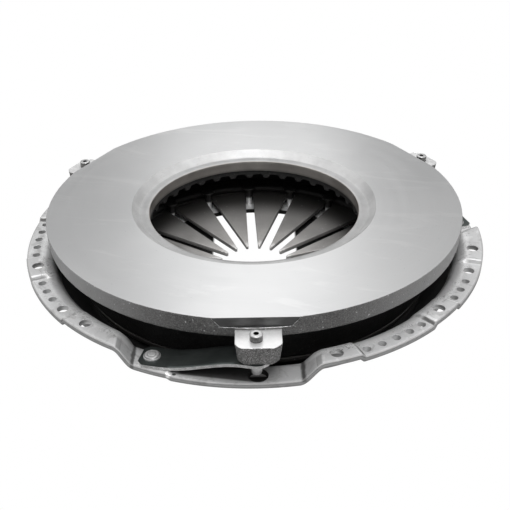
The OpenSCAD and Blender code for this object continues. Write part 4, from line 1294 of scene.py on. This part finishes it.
# --------------------------------------------------------- floor and light
def build_stage():
    me = bpy.data.meshes.new("floor")
    z = -0.0523
    me.from_pydata([(-6, -6, z), (6, -6, z), (6, 6, z), (-6, 6, z)], [], [(0, 1, 2, 3)])
    o = bpy.data.objects.new("floor", me)
    scene.collection.objects.link(o)
    # white seamless ground: it reads white to the lens, and is a dim diffuse surface to everything else.
    # The ground hidden under the part keeps its own shade, apart from a band under the bore that stays emission-white
    # to the lens, a painted pool of light.
    n = Nodes("floor")
    n.done((0.05, 0.05, 0.05), 0.9, 0.0)
    x, y, _ = n.xyz()
    r = n.math("SQRT", n.math("ADD", n.math("MULTIPLY", x, x), n.math("MULTIPLY", y, y)))
    under = n.math("MULTIPLY", n.math("MAXIMUM", n.smooth(n.math("ABSOLUTE", x), 0.043, 0.046), n.smooth(y, -0.045, -0.055)), n.smooth(r, 0.142, 0.132))
    dx = n.math("SUBTRACT", x, 0.001)
    dy = n.math("ADD", y, 0.163)
    rr = n.math("SQRT", n.math("ADD", n.math("MULTIPLY", dx, dx), n.math("MULTIPLY", dy, dy)))
    under = n.math("MAXIMUM", under, n.smooth(rr, 0.0145, 0.0125))
    em = n.t.nodes.new("ShaderNodeEmission")
    em.inputs[0].default_value = (1, 1, 1, 1)
    em.inputs[1].default_value = 1.0
    # light thrown back up by the open ground round the part, which shades its own
    glow = n.t.nodes.new("ShaderNodeEmission")
    glow.inputs[0].default_value = (1, 1, 1, 1)
    glow.inputs[1].default_value = 0.50
    open_ground = n.t.nodes.new("ShaderNodeMixShader")
    n.t.links.new(n.smooth(r, 0.215, 0.27), open_ground.inputs[0])
    n.t.links.new(n.b.outputs[0], open_ground.inputs[1])
    n.t.links.new(glow.outputs[0], open_ground.inputs[2])
    mixer = n.t.nodes.new("ShaderNodeMixShader")
    lp = n.t.nodes.new("ShaderNodeLightPath")
    n.t.links.new(n.math("MULTIPLY", lp.outputs["Is Camera Ray"], n.math("SUBTRACT", 1.0, under)), mixer.inputs[0])
    n.t.links.new(open_ground.outputs[0], mixer.inputs[1])
    n.t.links.new(em.outputs[0], mixer.inputs[2])
    n.t.links.new(mixer.outputs[0], n.out.inputs[0])
    o.matrix_world = SPIN
    me.materials.append(n.m)

    # pale room, dim at the horizon and bright overhead
    w = bpy.data.worlds.new("studio")
    scene.world = w
    w.use_nodes = True
    t = w.node_tree
    bg = t.nodes["Background"]
    bg.inputs[1].default_value = 1.0
    tc = t.nodes.new("ShaderNodeTexCoord")
    sp = t.nodes.new("ShaderNodeSeparateXYZ")
    mr = t.nodes.new("ShaderNodeMapRange")
    mr.interpolation_type = "SMOOTHSTEP"
    for i, v in enumerate((0.0, 0.95, 0.09, 0.91)):
        mr.inputs[i + 1].default_value = v
    t.links.new(tc.outputs["Generated"], sp.inputs[0])
    t.links.new(sp.outputs[2], mr.inputs[0])
    cc = t.nodes.new("ShaderNodeCombineColor")
    for i in range(3):
        t.links.new(mr.outputs[0], cc.inputs[i])
    t.links.new(cc.outputs[0], bg.inputs[0])
    # the room behind the part reads as plain white to the lens, like the ground
    seen = t.nodes.new("ShaderNodeBackground")
    seen.inputs[0].default_value = (1, 1, 1, 1)
    seen.inputs[1].default_value = 1.0
    room = t.nodes.new("ShaderNodeMixShader")
    lp = t.nodes.new("ShaderNodeLightPath")
    t.links.new(lp.outputs["Is Camera Ray"], room.inputs[0])
    t.links.new(bg.outputs[0], room.inputs[1])
    t.links.new(seen.outputs[0], room.inputs[2])
    t.links.new(room.outputs[0], t.nodes["World Output"].inputs[0])

    def area(name, pos, target, size, power, size_y=None, mirrored=True):
        l = bpy.data.lights.new(name, "AREA")
        l.shape = "RECTANGLE"
        l.size, l.size_y = size, size_y or size
        l.energy = power
        ob = bpy.data.objects.new(name, l)
        p, t = SPIN @ Vector(pos), SPIN @ Vector(target)
        ob.matrix_world = Matrix.Translation(p) @ (t - p).to_track_quat("-Z", "Y").to_matrix().to_4x4()
        ob.visible_glossy = mirrored
        scene.collection.objects.link(ob)

    lamp = bpy.data.lights.new("bore_lamp", "SPOT")
    lamp.energy, lamp.shadow_soft_size = 10.0, 0.14
    lamp.spot_size, lamp.spot_blend = math.radians(15.5), 0.45
    ob = bpy.data.objects.new("bore_lamp", lamp)
    p, q = SPIN @ Vector((0.03, -0.62, 0.74)), SPIN @ Vector((0.0, 0.075, -0.04))
    ob.matrix_world = Matrix.Translation(p) @ (q - p).to_track_quat("-Z", "Y").to_matrix().to_4x4()
    scene.collection.objects.link(ob)

    # a tall softbox behind, a broad one overhead and high fills in front and at the sides
    area("softbox_back", (0.0, 1.13, 0.98), (0, 0.0, 0.0), 0.50, 1.6, 1.15)
    area("softbox_top", (0.0, 0.05, 1.50), (0, 0, 0), 1.7, 14.0, mirrored=False)
    area("fill_front", (0.1, -0.72, 1.42), (0, -0.1, 0.0), 0.7, 11.0)
    area("fill_left", (-1.30, 0.15, 0.95), (0, 0, 0), 0.7, 3.2)
    area("fill_right", (1.30, 0.15, 0.95), (0, 0, 0), 0.7, 3.2)


build_stage()
scene.view_settings.view_transform = "Standard"
